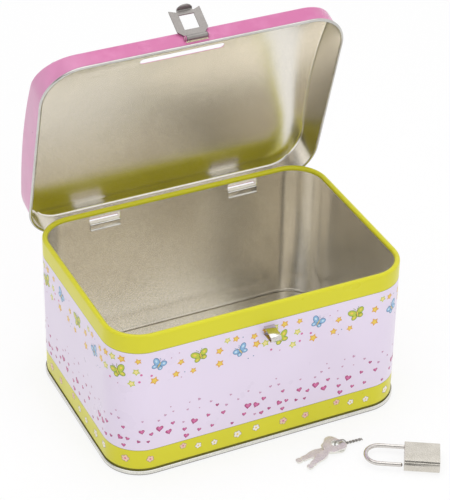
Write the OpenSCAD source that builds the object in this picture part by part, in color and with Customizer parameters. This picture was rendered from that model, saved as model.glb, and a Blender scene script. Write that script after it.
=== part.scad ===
// Tinplate money box with a hinged barrel-top lid, a hasp and staple,
// a small padlock standing open beside it, and two flat keys on a wire tie.
// Millimetres, +Z up. The origin is the middle of the ring that the tin stands on,
// +X runs along the long side and the front, with the hasp, faces -Y.

/* [Body] */
// Outer width of the body along its long side
body_w = 150; // [120:1:200]
// Outer depth of the body from front to back
body_d = 106; // [90:1:150]
// Height of the body from the table to the top of its rim
body_h = 79; // [65:1:120]
// Corner radius of the body seen from above
corner_r = 18; // [13:0.5:26]
// Gauge of the tinplate of body, base and lid
tin_t = 0.35; // [0.28:0.01:0.45]
// Outer radius of the roll at the rim of the body
rim_r = 1.35; // [1:0.05:1.8]

/* [Base] */
// Height of the folded seam that joins the base to the body
seam_h = 2.4; // [2:0.1:3.4]
// Height of the recessed base panel above the table
panel_z = 1.9; // [1.2:0.1:3]
// Play between the folded layers of the seam
seam_play = 0.05; // [0.03:0.01:0.08]
// Height of the raised field pressed into the base panel
field_rise = 0.8; // [0.4:0.1:1.5]

/* [Lid] */
// Angle that the lid stands open
lid_open = 74; // [0:1:100]
// Clearance between the body and the skirt of the closed lid
lid_clear = 0.5; // [0.45:0.05:0.9]
// How far the closed lid reaches down over the body
lid_drop = 10.8; // [9:0.1:14]
// Clearance between the rim and the inside of the closed lid
rim_clear = 0.25; // [0.2:0.05:0.8]
// Rise of the barrel top in the middle of the lid
arch_rise = 8.2; // [4:0.1:14]
// Outer radius of the wire-like bead curled at the edge of the lid
bead_r = 1.1; // [0.9:0.05:1.3]
// Length of the coin slot
coin_l = 43; // [30:1:60]
// Width of the coin slot
coin_w = 3.6; // [2.6:0.1:5]
// Distance of the coin slot from the front of the lid
coin_from_front = 19; // [12:0.5:40]

/* [Hinge straps] */
// Distance of each hinge strap from the middle of the tin
hinge_x = 37; // [22:0.5:48]
// Width of a hinge strap
strap_w = 15.6; // [10:0.1:20]
// Gauge of a hinge strap
strap_t = 0.5; // [0.4:0.05:0.6]
// Running clearance between a strap and the bead that turns in it
strap_play = 0.08; // [0.05:0.01:0.1]
// Length of the tail that is folded down inside the body
tail_l = 3.2; // [2:0.1:6]
// Height of the slot in the back wall that a strap comes through
strap_slot_h = 5.3; // [3:0.1:6]

/* [Hasp and staple] */
// Width of the hasp plate across its ears
hasp_w = 15.6; // [12:0.1:20]
// Length of the hasp from its pin to the tips of the ears
hasp_l = 16; // [15:0.1:20]
// Gauge of the hasp plate
hasp_t = 0.7; // [0.5:0.05:0.9]
// Length of the rolled knuckle at the hinged end of the hasp
knuckle_l = 10.4; // [8:0.1:12]
// Width of the window that goes over the staple
window_w = 7.6; // [6.2:0.1:9]
// Distance from the pin to the near edge of the window
window_from = 4.9; // [4.6:0.1:5.5]
// Distance from the pin to the far edge of the window
window_to = 12.9; // [12.6:0.1:13.6]
// Radius of the wire pin that the hasp turns on
pin_r = 0.6; // [0.4:0.05:0.8]
// Running clearance round the pin
pin_play = 0.05; // [0.03:0.01:0.08]
// Height of the hasp pin above the lower edge of the lid
hasp_v = 5.6; // [5:0.1:7]
// Distance of the hasp pin in front of the skirt
hasp_out = 1.1; // [1:0.05:1.6]
// Swing of the hasp away from hanging straight down, as it lies folded back
hasp_swing = 166; // [6:1:166]
// Width of the staple
staple_w = 5.2; // [4:0.1:6]
// Gauge of the strip that the staple is bent from
staple_t = 0.4; // [0.3:0.05:0.5]
// Distance that the staple stands out of the body
staple_out = 8; // [7:0.1:8.2]
// Height of the staple where it leaves the body
staple_h = 4.4; // [4:0.1:5]
// Distance from the rim down to the top of the staple
staple_down = 11.6; // [11.4:0.1:13]

/* [Padlock] */
// Position of the padlock beside the tin, from the middle of the tin
padlock_at = [59.8, -97.4]; // [-150:0.1:150]
// Direction that the keyhole end of the padlock points in
padlock_turn = -29.9; // [-180:0.1:180]
// Length of the padlock case along its shackle
case_l = 16.6; // [15:0.1:24]
// Width of the padlock case
case_w = 17.3; // [16:0.1:24]
// Thickness of the padlock case
case_t = 6.4; // [6.2:0.1:9]
// Bevel along the four long edges of the case
case_bevel = 1.15; // [0.6:0.05:1.6]
// Diameter of the shackle wire
shackle_d = 2.1; // [1.8:0.1:2.4]
// Distance between the legs of the shackle, middle to middle
shackle_pitch = 13.2; // [12:0.1:14]
// Reach of the open shackle out of the case
shackle_reach = 19.1; // [16:0.1:26]
// Travel of the shackle from open to closed
shackle_travel = 5.2; // [4:0.1:5.4]
// Running clearance of the shackle legs, the plug and the keyway
lock_play = 0.06; // [0.04:0.01:0.1]

/* [Keys] */
// Place of the hole that the wire tie goes through, from the middle of the tin
keys_at = [27.8, -71]; // [-150:0.1:150]
// Direction that the upper key points in
upper_turn = 208; // [190:1:215]
// Direction that the lower key points in
lower_turn = 187; // [180:1:200]
// Thickness of a key
key_t = 0.9; // [0.7:0.05:1]
// Length of a key from its hole to its tip
key_l = 21.8; // [18:0.1:26]
// Width of the end of the key that goes into the lock
key_tip_w = 3.2; // [2.6:0.1:3.3]
// Diameter of the wire of the tie
tie_d = 0.7; // [0.5:0.05:0.8]

/* [Hidden] */
$fn = 48;
eps = 0.01;

tin_colour = [0.74, 0.74, 0.71];
body_colour = [0.91, 0.87, 0.94];
lid_colour = [0.91, 0.53, 0.74];
steel_colour = [0.72, 0.71, 0.69];
nickel_colour = [0.80, 0.78, 0.74];
seat_gap = 0.02;

// Lid and hinge line
lid_w = body_w + 2 * (lid_clear + tin_t);
lid_d = body_d + 2 * (lid_clear + tin_t);
lid_r = corner_r + lid_clear + tin_t;
lid_z = body_h - lid_drop;
skirt_h = lid_drop + rim_clear + tin_t;
hinge_y = body_d / 2 + lid_clear + bead_r;
hinge_z = lid_z + bead_r;
arch_r = (pow(lid_d / 2, 2) + pow(arch_rise, 2)) / (2 * arch_rise);
arch_cz = skirt_h + arch_rise - arch_r;
wrap_r = bead_r + strap_play;
strap_window_h = wrap_r + strap_t + 0.8;
strap_side = 0.3;
wall_in_y = body_d / 2 - tin_t;

// Hasp line on the closed lid
knuckle_r = pin_r + pin_play + hasp_t;
hasp_y = -(lid_d / 2 + hasp_out);
hasp_z = lid_z + hasp_v;
lug_gap = 0.25;
lug_in = knuckle_l / 2 + lug_gap;
lug_reach = hasp_out + pin_r + 0.75;
hasp_slot_h = 3.8;
tab_w = 7.8;
tab_from = 15.1;
tab_bend = 76;
tab_bend_r = 0.4;
tab_l = 2.7;
tab_end_r = 4.5;
notch_from = 14.8;

// Staple on the front wall
staple_top = body_h - staple_down;
staple_low = staple_top - staple_h;
staple_nose = 1.5;
clinch_l = 3;

// Padlock works, measured from the middle of the case along its length
leg_r = shackle_d / 2;
bore_r = leg_r + lock_play;
mouth_x = -case_l / 2;
end_x = case_l / 2;
toe_stand = 0.8;
heel_pin_r = 0.5;
heel_pin_x = -1.9;
neck_r = 0.65;
neck_play = 0.05;
head_l = 1.4;
head_x = heel_pin_x + heel_pin_r + neck_play;
neck_l = shackle_travel + 2 * (heel_pin_r + neck_play);
heel_pin_y = shackle_pitch / 2 - neck_r - neck_play - heel_pin_r;
bow_r = shackle_pitch / 2;
bow_x = mouth_x - shackle_reach + leg_r + bow_r;
end_plate_t = 0.9;
plug_x = 0.6;
plug_r = 2.5;
plug_nose_r = 2.05;
keyway_t = key_t + 2 * lock_play;
latch_x = -6.3;
latch_y = -(shackle_pitch / 2 - bore_r - 0.9);
latch_h = 2.2;
latch_nose = leg_r + 0.25;
cam_l = 1.2;
cam_t = 1;
cam_w = 2;
spring_wire = 0.25;
spring_turns = 6;

// Keys
bow_len = 9.6;
bow_far = 3.4;
bow_w = 12;
bow_end_w = 8;
bow_big_r = 3;
bow_small_r = 2.2;
key_hole_r = 1.9;
lower_lift = tie_d + 0.1;
upper_lift = lower_lift + key_t + 0.06;
key_tilt = asin((lower_lift - 0.04) / key_l);
tie_turn = -2;
tie_r = tie_d / 2;
tie_reach = 5.3;
tie_tail = 9;
tie_twist_r = tie_r + 0.04;
tie_pitch = 3.2;

// Plan of a rectangle with round corners
module round_plan(w, d, r) {
    square([w - 2 * r, d], center = true);
    square([w, d - 2 * r], center = true);
    for (sx = [-1, 1], sy = [-1, 1])
        translate([sx * (w / 2 - r), sy * (d / 2 - r)]) circle(r, $fn = 96);
}

// Runs a section round a rectangle with round corners. In the section, x is the
// distance outside the outline and y is the height.
module run_round(w, d, r) {
    for (side = [0, 1]) rotate([0, 0, 180 * side]) {
        translate([w / 2, d / 2 - r, 0]) rotate([90, 0, 0])
            linear_extrude(d - 2 * r) children();
        translate([-(w / 2 - r), d / 2, 0]) rotate([90, 0, 90])
            linear_extrude(w - 2 * r) children();
        translate([w / 2 - r, d / 2 - r, 0])
            rotate_extrude(angle = 90, $fn = 96) translate([r, 0]) children();
        translate([-(w / 2 - r), d / 2 - r, 0]) rotate([0, 0, 90])
            rotate_extrude(angle = 90, $fn = 96) translate([r, 0]) children();
    }
}

// Points along an arc, from one angle to another
function arc_points(centre, r, from, to, n) =
    [for (i = [0 : n]) let (a = from + (to - from) * i / n)
        [centre[0] + r * cos(a), centre[1] + r * sin(a)]];

// Moves a shape from the closed lid to where the lid stands open
module on_lid() {
    translate([0, hinge_y, hinge_z]) rotate([-lid_open, 0, 0])
        translate([0, -hinge_y, -hinge_z]) children();
}

// Extrudes a section drawn in Y and Z along X, centred on x
module along_x(x, w) {
    translate([x - w / 2, 0, 0]) rotate([90, 0, 90]) linear_extrude(w) children();
}

// Body wall: one bent strip of tinplate with a roll at the rim
module strap_slot() {
    slot_w = strap_w + 2 * strap_side;
    low = hinge_z + wrap_r - 0.25;
    round_r = 2;
    translate([0, low + strap_slot_h / 2]) {
        translate([0, -round_r / 2]) square([slot_w, strap_slot_h - round_r], center = true);
        square([slot_w - 2 * round_r, strap_slot_h], center = true);
        for (s = [-1, 1])
            translate([s * (slot_w / 2 - round_r), strap_slot_h / 2 - round_r]) circle(round_r);
    }
}

module rim_roll_section() {
    difference() {
        translate([-rim_r, body_h - rim_r]) circle(rim_r);
        translate([-rim_r, body_h - rim_r]) circle(rim_r - tin_t);
        translate([-rim_r, body_h - rim_r])
            polygon([[0, 0], [rim_r - tin_t, 0], [rim_r - tin_t, -2 * rim_r], [-rim_r, -2 * rim_r]]);
    }
}

module body_wall() {
    foot_z = tin_t + seam_play;
    hook_h = seam_h - foot_z - 0.35;
    color(body_colour) {
        difference() {
            translate([0, 0, foot_z]) linear_extrude(body_h - rim_r - foot_z) difference() {
                round_plan(body_w, body_d, corner_r);
                round_plan(body_w - 2 * tin_t, body_d - 2 * tin_t, corner_r - tin_t);
            }
            for (s = [-1, 1]) translate([s * hinge_x, body_d / 2 + 1, 0]) rotate([90, 0, 0])
                linear_extrude(tin_t + 2) strap_slot();
            for (z = [staple_top - staple_t / 2, staple_low + staple_t / 2])
                translate([0, -body_d / 2, z])
                    cube([staple_w + 0.1, 4 * tin_t, staple_t + 2 * seat_gap], center = true);
        }
        run_round(body_w, body_d, corner_r) rim_roll_section();
        run_round(body_w, body_d, corner_r)
            translate([-eps, foot_z]) square([tin_t + eps, hook_h]);
    }
}

// Base: a recessed panel whose edge is folded round the foot of the body wall
module base_plate() {
    fold_in = tin_t + seam_play;
    fold_out = tin_t + seam_play;
    field_in = 12;
    color(tin_colour) {
        run_round(body_w, body_d, corner_r) {
            translate([-fold_in - tin_t, 0]) square([tin_t, panel_z]);
            translate([-fold_in - tin_t, 0]) square([fold_in + fold_out + 2 * tin_t, tin_t]);
            translate([fold_out, 0]) square([tin_t, seam_h - tin_t / 2]);
            translate([fold_out + tin_t / 2, seam_h - tin_t / 2]) circle(tin_t / 2, $fn = 24);
        }
        translate([0, 0, panel_z - tin_t]) linear_extrude(tin_t) difference() {
            round_plan(body_w - 2 * fold_in, body_d - 2 * fold_in, corner_r - fold_in);
            round_plan(body_w - 2 * field_in, body_d - 2 * field_in, corner_r - 6);
        }
        translate([0, 0, panel_z - tin_t]) linear_extrude(field_rise + tin_t) difference() {
            round_plan(body_w - 2 * field_in, body_d - 2 * field_in, corner_r - 6);
            round_plan(body_w - 2 * (field_in + tin_t), body_d - 2 * (field_in + tin_t),
                       corner_r - 6 - tin_t);
        }
        translate([0, 0, panel_z + field_rise - tin_t]) linear_extrude(tin_t)
            round_plan(body_w - 2 * field_in - tin_t, body_d - 2 * field_in - tin_t,
                       corner_r - 6 - tin_t / 2);
    }
}

// Hinge strap: wraps the bead of the lid, comes in through the wall and is folded down
module strap_section() {
    outer_r = wrap_r + strap_t;
    bend_r = 0.3;
    tail_y = wall_in_y - seat_gap;
    open_from = 235;
    translate([hinge_y, hinge_z]) difference() {
        circle(outer_r);
        circle(wrap_r);
        polygon([[0, 0], [0, 3 * outer_r], [-3 * outer_r, 3 * outer_r],
                 [-3 * outer_r, 3 * outer_r * sin(open_from)],
                 [3 * outer_r * cos(open_from), 3 * outer_r * sin(open_from)]]);
    }
    translate([tail_y + bend_r, hinge_z + wrap_r])
        square([hinge_y - tail_y - bend_r, strap_t]);
    translate([tail_y + bend_r, hinge_z + wrap_r - bend_r]) intersection() {
        difference() {
            circle(bend_r + strap_t);
            circle(bend_r);
        }
        translate([-3, 0]) square([3, 3]);
    }
    translate([tail_y - strap_t, hinge_z + wrap_r - bend_r - tail_l + strap_t])
        square([strap_t, tail_l - strap_t]);
    translate([tail_y - strap_t, hinge_z + wrap_r - bend_r - tail_l + strap_t]) circle(strap_t);
}

module hinge_strap(side) {
    color(tin_colour) intersection() {
        along_x(side * hinge_x, strap_w) strap_section();
        translate([side * hinge_x, hinge_y, hinge_z])
            cube([strap_w, 2 * (hinge_y - wall_in_y) + 4, 40], center = true);
    }
}

module hinge_strap_left() { hinge_strap(-1); }
module hinge_strap_right() { hinge_strap(1); }

// Staple: a strip bent into a tapering eye, its ends clinched inside the wall. The
// section is one outline, from the upper clinch round the nose and back inside.
module staple_section() {
    back = tin_t + seat_gap;
    nose = [staple_out - staple_nose, staple_low + staple_nose];
    drop = staple_top - nose[1];
    lean = asin(staple_nose / norm([nose[0], drop])) - atan2(drop, nose[0]);
    polygon(concat(
        [[-back - staple_t, staple_top - staple_t + clinch_l],
         [-back, staple_top - staple_t + clinch_l], [-back, staple_top], [0, staple_top]],
        arc_points(nose, staple_nose, 90 + lean, -90, 16),
        [[-back, staple_low], [-back, staple_low + staple_t - clinch_l],
         [-back - staple_t, staple_low + staple_t - clinch_l],
         [-back - staple_t, staple_low + staple_t]],
        arc_points(nose, staple_nose - staple_t, -90, 90 + lean, 16),
        [[0, staple_top - staple_t], [-back - staple_t, staple_top - staple_t]]));
}

module staple() {
    color(steel_colour) mirror([0, 1, 0]) translate([0, body_d / 2, 0])
        along_x(0, staple_w) staple_section();
}

// Lid: a pressed barrel top with a deep skirt and a bead curled at its edge
module lid_solid(inset, low) {
    intersection() {
        translate([0, 0, low]) linear_extrude(skirt_h + arch_rise + 5)
            round_plan(lid_w - 2 * inset, lid_d - 2 * inset, lid_r - inset);
        translate([-lid_w / 2 - 1, 0, 0]) rotate([90, 0, 90]) linear_extrude(lid_w + 2)
            translate([0, arch_cz]) circle(arch_r - inset, $fn = 180);
    }
}

module hasp_lug(side) {
    translate([side * (lug_in + tin_t / 2), -lid_d / 2, hasp_v]) {
        translate([0, -hasp_out / 2, 0])
            cube([tin_t, hasp_out + 2 * eps, 2 * (lug_reach - hasp_out)], center = true);
        translate([0, -hasp_out, 0]) rotate([0, 90, 0])
            cylinder(r = lug_reach - hasp_out, h = tin_t, center = true);
    }
}

module lid_closed() {
    difference() {
        lid_solid(0, bead_r);
        lid_solid(tin_t, bead_r - 1);
        translate([0, -lid_d / 2 + coin_from_front, skirt_h]) linear_extrude(2 * arch_rise + 4) {
            square([coin_l - coin_w, coin_w], center = true);
            for (s = [-1, 1]) translate([s * (coin_l - coin_w) / 2, 0]) circle(coin_w / 2);
        }
        translate([0, -lid_d / 2, hasp_v])
            cube([2 * lug_in + 2 * tin_t, 4 * tin_t, hasp_slot_h], center = true);
        for (s = [-1, 1])
            translate([s * hinge_x, lid_d / 2, bead_r + strap_window_h / 2 - 0.5])
                cube([strap_w + 2 * strap_side, 4 * tin_t, strap_window_h + 1], center = true);
    }
    translate([0, 0, bead_r]) run_round(lid_w - 2 * tin_t, lid_d - 2 * tin_t, lid_r - tin_t)
        translate([bead_r, 0]) circle(bead_r);
    difference() {
        union() for (s = [-1, 1]) hasp_lug(s);
        translate([0, -lid_d / 2 - hasp_out, hasp_v]) rotate([0, 90, 0])
            cylinder(r = pin_r + seat_gap, h = lid_w, center = true);
    }
}

module lid_shell() {
    color(lid_colour) on_lid() translate([0, 0, lid_z]) lid_closed();
}

// Hasp: a stamped plate with a window, ears and a bent finger tab, hanging from z = 0
module hasp_plan() {
    shoulder = 1.7;
    flare = 4.4;
    notch_w = 0.7;
    difference() {
        polygon([[-knuckle_l / 2, 0], [knuckle_l / 2, 0], [knuckle_l / 2, -shoulder],
                 [hasp_w / 2, -flare], [hasp_w / 2, -hasp_l],
                 [tab_w / 2 + notch_w, -notch_from], [tab_w / 2, -notch_from],
                 [tab_w / 2, -tab_from], [-tab_w / 2, -tab_from],
                 [-tab_w / 2, -notch_from], [-tab_w / 2 - notch_w, -notch_from],
                 [-hasp_w / 2, -hasp_l], [-hasp_w / 2, -flare], [-knuckle_l / 2, -shoulder]]);
        translate([-window_w / 2, -window_to]) square([window_w, window_to - window_from]);
    }
}

// Finger tab: bent toward the body at the end of the plate, with a round end
module hasp_tab() {
    axis = [-knuckle_r + hasp_t + tab_bend_r, -tab_from];
    out = [sin(tab_bend), -cos(tab_bend)];
    far = 180 + tab_bend;
    outer = arc_points(axis, tab_bend_r + hasp_t, 180, far, 10);
    inner = arc_points(axis, tab_bend_r, far, 180, 10);
    intersection() {
        along_x(0, tab_w) polygon(concat([[axis[0] - tab_bend_r - hasp_t, axis[1] + 0.3]],
            outer, [outer[10] + tab_l * out, inner[0] + tab_l * out], inner,
            [[axis[0] - tab_bend_r, axis[1] + 0.3]]));
        translate([0, axis[0], axis[1]]) rotate([tab_bend, 0, 0])
            translate([0, 0, tab_end_r - tab_l]) rotate([90, 0, 0])
                cylinder(r = tab_end_r, h = 12, center = true);
    }
}

module hasp_hanging() {
    difference() {
        union() {
            rotate([0, 90, 0]) cylinder(r = knuckle_r, h = knuckle_l, center = true);
            translate([0, -knuckle_r + hasp_t, 0]) rotate([90, 0, 0])
                linear_extrude(hasp_t) hasp_plan();
        }
        rotate([0, 90, 0]) cylinder(r = pin_r + pin_play, h = 2 * hasp_w, center = true);
    }
    hasp_tab();
}

module hasp() {
    color(steel_colour) on_lid() translate([0, hasp_y, hasp_z])
        rotate([-hasp_swing, 0, 0]) hasp_hanging();
}

// Wire pin through the lugs of the lid, its ends peened
module hasp_pin() {
    head_t = 0.4;
    over = lug_in + tin_t + seat_gap;
    color(nickel_colour) on_lid() translate([0, hasp_y, hasp_z]) rotate([0, 90, 0]) {
        cylinder(r = pin_r, h = 2 * over, center = true);
        for (s = [-1, 1]) translate([0, 0, s * (over + head_t / 2)])
            cylinder(r = pin_r + 0.3, h = head_t, center = true);
    }
}

// Puts a piece of the padlock where the padlock lies
module on_padlock() {
    translate([padlock_at[0], padlock_at[1], case_t / 2]) rotate([0, 0, padlock_turn])
        children();
}

module case_section(inset) {
    w = case_w / 2 - inset;
    t = case_t / 2 - inset;
    b = case_bevel;
    polygon([[-w, -t + b], [-w + b, -t], [w - b, -t], [w, -t + b],
             [w, t - b], [w - b, t], [-w + b, t], [-w, t - b]]);
}

module bore_x(x0, x1, r) {
    translate([x0, 0, 0]) rotate([0, 90, 0]) cylinder(r = r, h = x1 - x0);
}

module padlock_case() {
    heel_end = end_x - end_plate_t - 0.5;
    toe_end = mouth_x + shackle_travel + 0.6;
    color(nickel_colour) on_padlock() difference() {
        translate([mouth_x, 0, 0]) rotate([90, 0, 90]) linear_extrude(case_l) case_section(0);
        translate([end_x - end_plate_t, 0, 0]) rotate([90, 0, 90])
            linear_extrude(end_plate_t + 1) case_section(0.6);
        translate([0, shackle_pitch / 2, 0]) bore_x(mouth_x - 1, heel_end, bore_r);
        translate([0, -shackle_pitch / 2, 0]) bore_x(mouth_x - 1, toe_end, bore_r);
        bore_x(plug_x, end_x, plug_r + lock_play);
        translate([heel_pin_x, heel_pin_y, 0])
            cylinder(r = heel_pin_r + seat_gap, h = case_t - 2, center = true);
        translate([latch_x - 1.5, latch_y - latch_nose - 0.25, -latch_h / 2 - 0.2])
            cube([plug_x - latch_x + 1.6, latch_nose + 0.25 - latch_y + 1.5, latch_h + 0.4]);
    }
}

// Pressed plate that keeps the plug in the case
module padlock_end_plate() {
    color(nickel_colour) on_padlock() difference() {
        translate([end_x - end_plate_t + seat_gap, 0, 0]) rotate([90, 0, 90])
            linear_extrude(end_plate_t - seat_gap) case_section(0.6 + seat_gap);
        bore_x(0, end_x + 1, plug_nose_r + lock_play);
    }
}

// Plug with its keyway, and the cam that moves the latch
module lock_plug() {
    shoulder_x = end_x - end_plate_t - 0.04;
    color(steel_colour) on_padlock() difference() {
        union() {
            bore_x(plug_x + 0.05, shoulder_x, plug_r);
            bore_x(shoulder_x - eps, end_x - 0.1, plug_nose_r);
            translate([-cam_l, -cam_t / 2, -cam_w / 2]) cube([cam_l + plug_x + 0.2, cam_t, cam_w]);
        }
        translate([plug_x + 1.2, -keyway_t / 2, -key_tip_w / 2 - lock_play])
            cube([case_l, keyway_t, key_tip_w + 2 * lock_play]);
    }
}

// Leaf spring whose nose drops into the notch of the toe leg
module latch_spring() {
    leaf_t = 0.3;
    x0 = latch_x - 1.3;
    x1 = -cam_l - 0.2 - leaf_t;
    hook_y = cam_t / 2 + 0.1;
    color(steel_colour) on_padlock() translate([0, 0, -latch_h / 2]) linear_extrude(latch_h) {
        polygon([[x0, latch_y], [latch_x - 0.7, latch_y], [latch_x, latch_y - latch_nose],
                 [latch_x + 0.7, latch_y], [x1 + leaf_t, latch_y],
                 [x1 + leaf_t, hook_y], [-0.2, hook_y], [-0.2, hook_y + leaf_t],
                 [x1, hook_y + leaf_t], [x1, latch_y + leaf_t], [latch_x + 0.5, latch_y + leaf_t],
                 [latch_x, latch_y + leaf_t - latch_nose], [latch_x - 0.5, latch_y + leaf_t],
                 [x0 + leaf_t, latch_y + leaf_t], [x0 + leaf_t, 0], [x0, 0]]);
    }
}

// Pin that rides in the neck of the heel leg and keeps the shackle in the case
module heel_pin() {
    color(steel_colour) on_padlock() translate([heel_pin_x, heel_pin_y, 0])
        cylinder(r = heel_pin_r, h = case_t - 2.1, center = true);
}

// Shackle in its open position, with a necked heel and a notched toe
module shackle() {
    heel_full = head_x - neck_l;
    toe_x = mouth_x - toe_stand;
    color(nickel_colour) on_padlock() difference() {
        union() {
            translate([bow_x, 0, 0]) rotate([0, 0, 90]) rotate_extrude(angle = 180, $fn = 96)
                translate([bow_r, 0]) circle(leg_r);
            translate([0, shackle_pitch / 2, 0]) {
                bore_x(bow_x, heel_full, leg_r);
                bore_x(heel_full - eps, head_x + eps, neck_r);
                bore_x(head_x, head_x + head_l, leg_r);
            }
            translate([0, -shackle_pitch / 2, 0]) {
                bore_x(bow_x, toe_x - 0.6, leg_r);
                translate([toe_x - 0.6, 0, 0]) rotate([0, 90, 0])
                    cylinder(r1 = leg_r, r2 = leg_r - 0.5, h = 0.6);
            }
        }
        translate([latch_x - shackle_travel, -shackle_pitch / 2 + leg_r, 0])
            cube([1.8, 1.3, shackle_d + 1], center = true);
    }
}

// Tube swept along points, seen against a side direction that no stretch runs along
function unit(v) = v / norm(v);
function ring_at(pts, i, side, r, n) =
    let (last = len(pts) - 1,
         dir = unit(pts[min(i + 1, last)] - pts[max(i - 1, 0)]),
         a = unit(cross(dir, side)),
         b = cross(dir, a))
    [for (k = [0 : n - 1]) pts[i] + r * (cos(360 * k / n) * a + sin(360 * k / n) * b)];

module tube(pts, r, side, n = 8) {
    rings = [for (i = [0 : len(pts) - 1]) each ring_at(pts, i, side, r, n)];
    last = (len(pts) - 1) * n;
    polyhedron(points = rings, faces = concat(
        [[for (k = [0 : n - 1]) k]],
        [for (i = [0 : len(pts) - 2], k = [0 : n - 1])
            [i * n + k, (i + 1) * n + k, (i + 1) * n + (k + 1) % n, i * n + (k + 1) % n]],
        [[for (k = [n - 1 : -1 : 0]) last + k]]));
}

// Coil spring that lifts the shackle, in the bottom of the heel bore
module shackle_spring() {
    x0 = head_x + head_l + spring_wire / 2 + seat_gap;
    x1 = end_x - end_plate_t - 0.5 - spring_wire / 2 - seat_gap;
    coil_r = bore_r - spring_wire / 2 - 0.08;
    steps = 12 * spring_turns;
    pts = [for (i = [0 : steps])
        [x0 + (x1 - x0) * i / steps, coil_r * cos(30 * i), coil_r * sin(30 * i)]];
    color(steel_colour) on_padlock() translate([0, shackle_pitch / 2, 0])
        spring_tube(pts, spring_wire / 2);
}

module spring_tube(pts, r) {
    n = 6;
    rings = [for (p = pts) let (out = unit([0, p[1], p[2]]))
        each [for (k = [0 : n - 1]) p + r * (cos(360 * k / n) * out + sin(360 * k / n) * [1, 0, 0])]];
    last = (len(pts) - 1) * n;
    polyhedron(points = rings, faces = concat(
        [[for (k = [n - 1 : -1 : 0]) k]],
        [for (i = [0 : len(pts) - 2], k = [0 : n - 1])
            [i * n + k, i * n + (k + 1) % n, (i + 1) * n + (k + 1) % n, (i + 1) * n + k]],
        [[for (k = [0 : n - 1]) last + k]]));
}

// Flat key: rounded bow, narrow neck, broad shank and a stepped tip. Its hole is at
// the origin and it points along +X. The side runs from the middle of the bow to the tip.
function ease(x0, y0, x1, y1, n) =
    [for (i = [0 : n]) [x0 + (x1 - x0) * i / n, y0 + (y1 - y0) * (1 - cos(180 * i / n)) / 2]];

function key_side(neck_w, shank_w, round_r) =
    let (big = [bow_big_r - bow_far, bow_w / 2 - bow_big_r],
         small = [bow_len - bow_far - bow_small_r, bow_end_w / 2 - bow_small_r],
         gap = small - big,
         fall = acos((bow_big_r - bow_small_r) / norm(gap)) + atan2(gap[1], gap[0]),
         neck_x = bow_len - bow_far)
    concat(arc_points(big, bow_big_r, 180, fall, 8), arc_points(small, bow_small_r, fall, 10, 6),
           ease(neck_x + 0.3, neck_w / 2, neck_x + 4.2, shank_w / 2, 6),
           ease(neck_x + 5.8, shank_w / 2, neck_x + 10, key_tip_w / 2, 6),
           arc_points([key_l - round_r, key_tip_w / 2 - round_r], round_r, 90, 0, 4));

module key_plan() {
    side = key_side(3.4, 4.9, 1.3);
    last = len(side) - 1;
    difference() {
        polygon(concat(side, [for (i = [last : -1 : 0]) [side[i][0], -side[i][1]]]));
        for (s = [-1, 1]) translate([key_l - 3, s * key_tip_w / 2])
            square([1, 0.9], center = true);
    }
}

module flat_key(swing, lift) {
    color(nickel_colour) translate([keys_at[0], keys_at[1], lift])
        rotate([0, 0, lower_turn]) rotate([0, key_tilt, 0]) rotate([0, 0, swing]) difference() {
            linear_extrude(key_t) key_plan();
            translate([0, 0, -1]) cylinder(r = key_hole_r, h = key_t + 2);
        }
}

module key_upper() { flat_key(upper_turn - lower_turn, upper_lift); }
module key_lower() { flat_key(0, lower_lift); }

function tie_strand(part, a, mid) =
    [tie_reach + tie_tail * part, tie_twist_r * cos(a), mid + tie_twist_r * sin(a)];

// Wire tie: one wire looped through both keys, its two ends twisted together
module key_tie() {
    top = upper_lift + key_t + 0.75;
    low = tie_r + 0.03;
    mid = tie_twist_r + low;
    steps = 30;
    turn = 360 * tie_tail / tie_pitch / steps;
    loop = [[tie_reach + 0.2, mid + 1], [tie_reach - 0.2, top - 0.8], [tie_reach - 1.1, top],
            [2.6, top + 0.25], [0.9, top + 0.15], [0.1, top - 0.5], [0, top - 1.6], [0, low + 0.8],
            [0.4, low + 0.2], [1.3, low], [3, low]];
    out = [for (i = [steps : -1 : 0]) tie_strand(i / steps, 90 + turn * i, mid)];
    back = [for (i = [0 : steps]) tie_strand(i / steps, 270 + turn * i, mid)];
    color(steel_colour) translate([keys_at[0], keys_at[1], 0]) rotate([0, 0, tie_turn])
        tube(concat(out, [for (p = loop) [p[0], 0, p[1]]], back), tie_r, [0, 1, 0], 6);
}

body_wall();
base_plate();
hinge_strap_left();
hinge_strap_right();
staple();
lid_shell();
hasp();
hasp_pin();
padlock_case();
padlock_end_plate();
lock_plug();
latch_spring();
heel_pin();
shackle();
shackle_spring();
key_upper();
key_lower();
key_tie();
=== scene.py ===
import math
import random

import bmesh
import bpy
from mathutils import Matrix, Vector


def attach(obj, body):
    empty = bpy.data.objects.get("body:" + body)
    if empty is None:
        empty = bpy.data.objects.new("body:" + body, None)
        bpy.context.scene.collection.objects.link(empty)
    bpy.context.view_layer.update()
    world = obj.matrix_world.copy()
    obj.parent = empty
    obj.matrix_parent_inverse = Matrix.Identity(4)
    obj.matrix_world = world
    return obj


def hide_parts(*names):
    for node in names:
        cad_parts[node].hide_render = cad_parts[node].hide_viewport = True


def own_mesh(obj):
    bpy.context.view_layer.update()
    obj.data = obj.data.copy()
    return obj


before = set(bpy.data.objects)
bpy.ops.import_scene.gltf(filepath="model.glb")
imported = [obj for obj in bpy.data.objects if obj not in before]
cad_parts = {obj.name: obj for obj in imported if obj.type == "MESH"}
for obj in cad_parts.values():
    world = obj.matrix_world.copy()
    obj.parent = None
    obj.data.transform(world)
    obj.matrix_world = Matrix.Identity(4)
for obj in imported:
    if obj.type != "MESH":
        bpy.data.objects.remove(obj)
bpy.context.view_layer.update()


# The studio: a pale floor that runs out of sight under soft lamps, and a camera
# with a long lens that looks down at the tin's front left corner.
MM = 0.001
WHITE = (1, 1, 1, 1)
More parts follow.
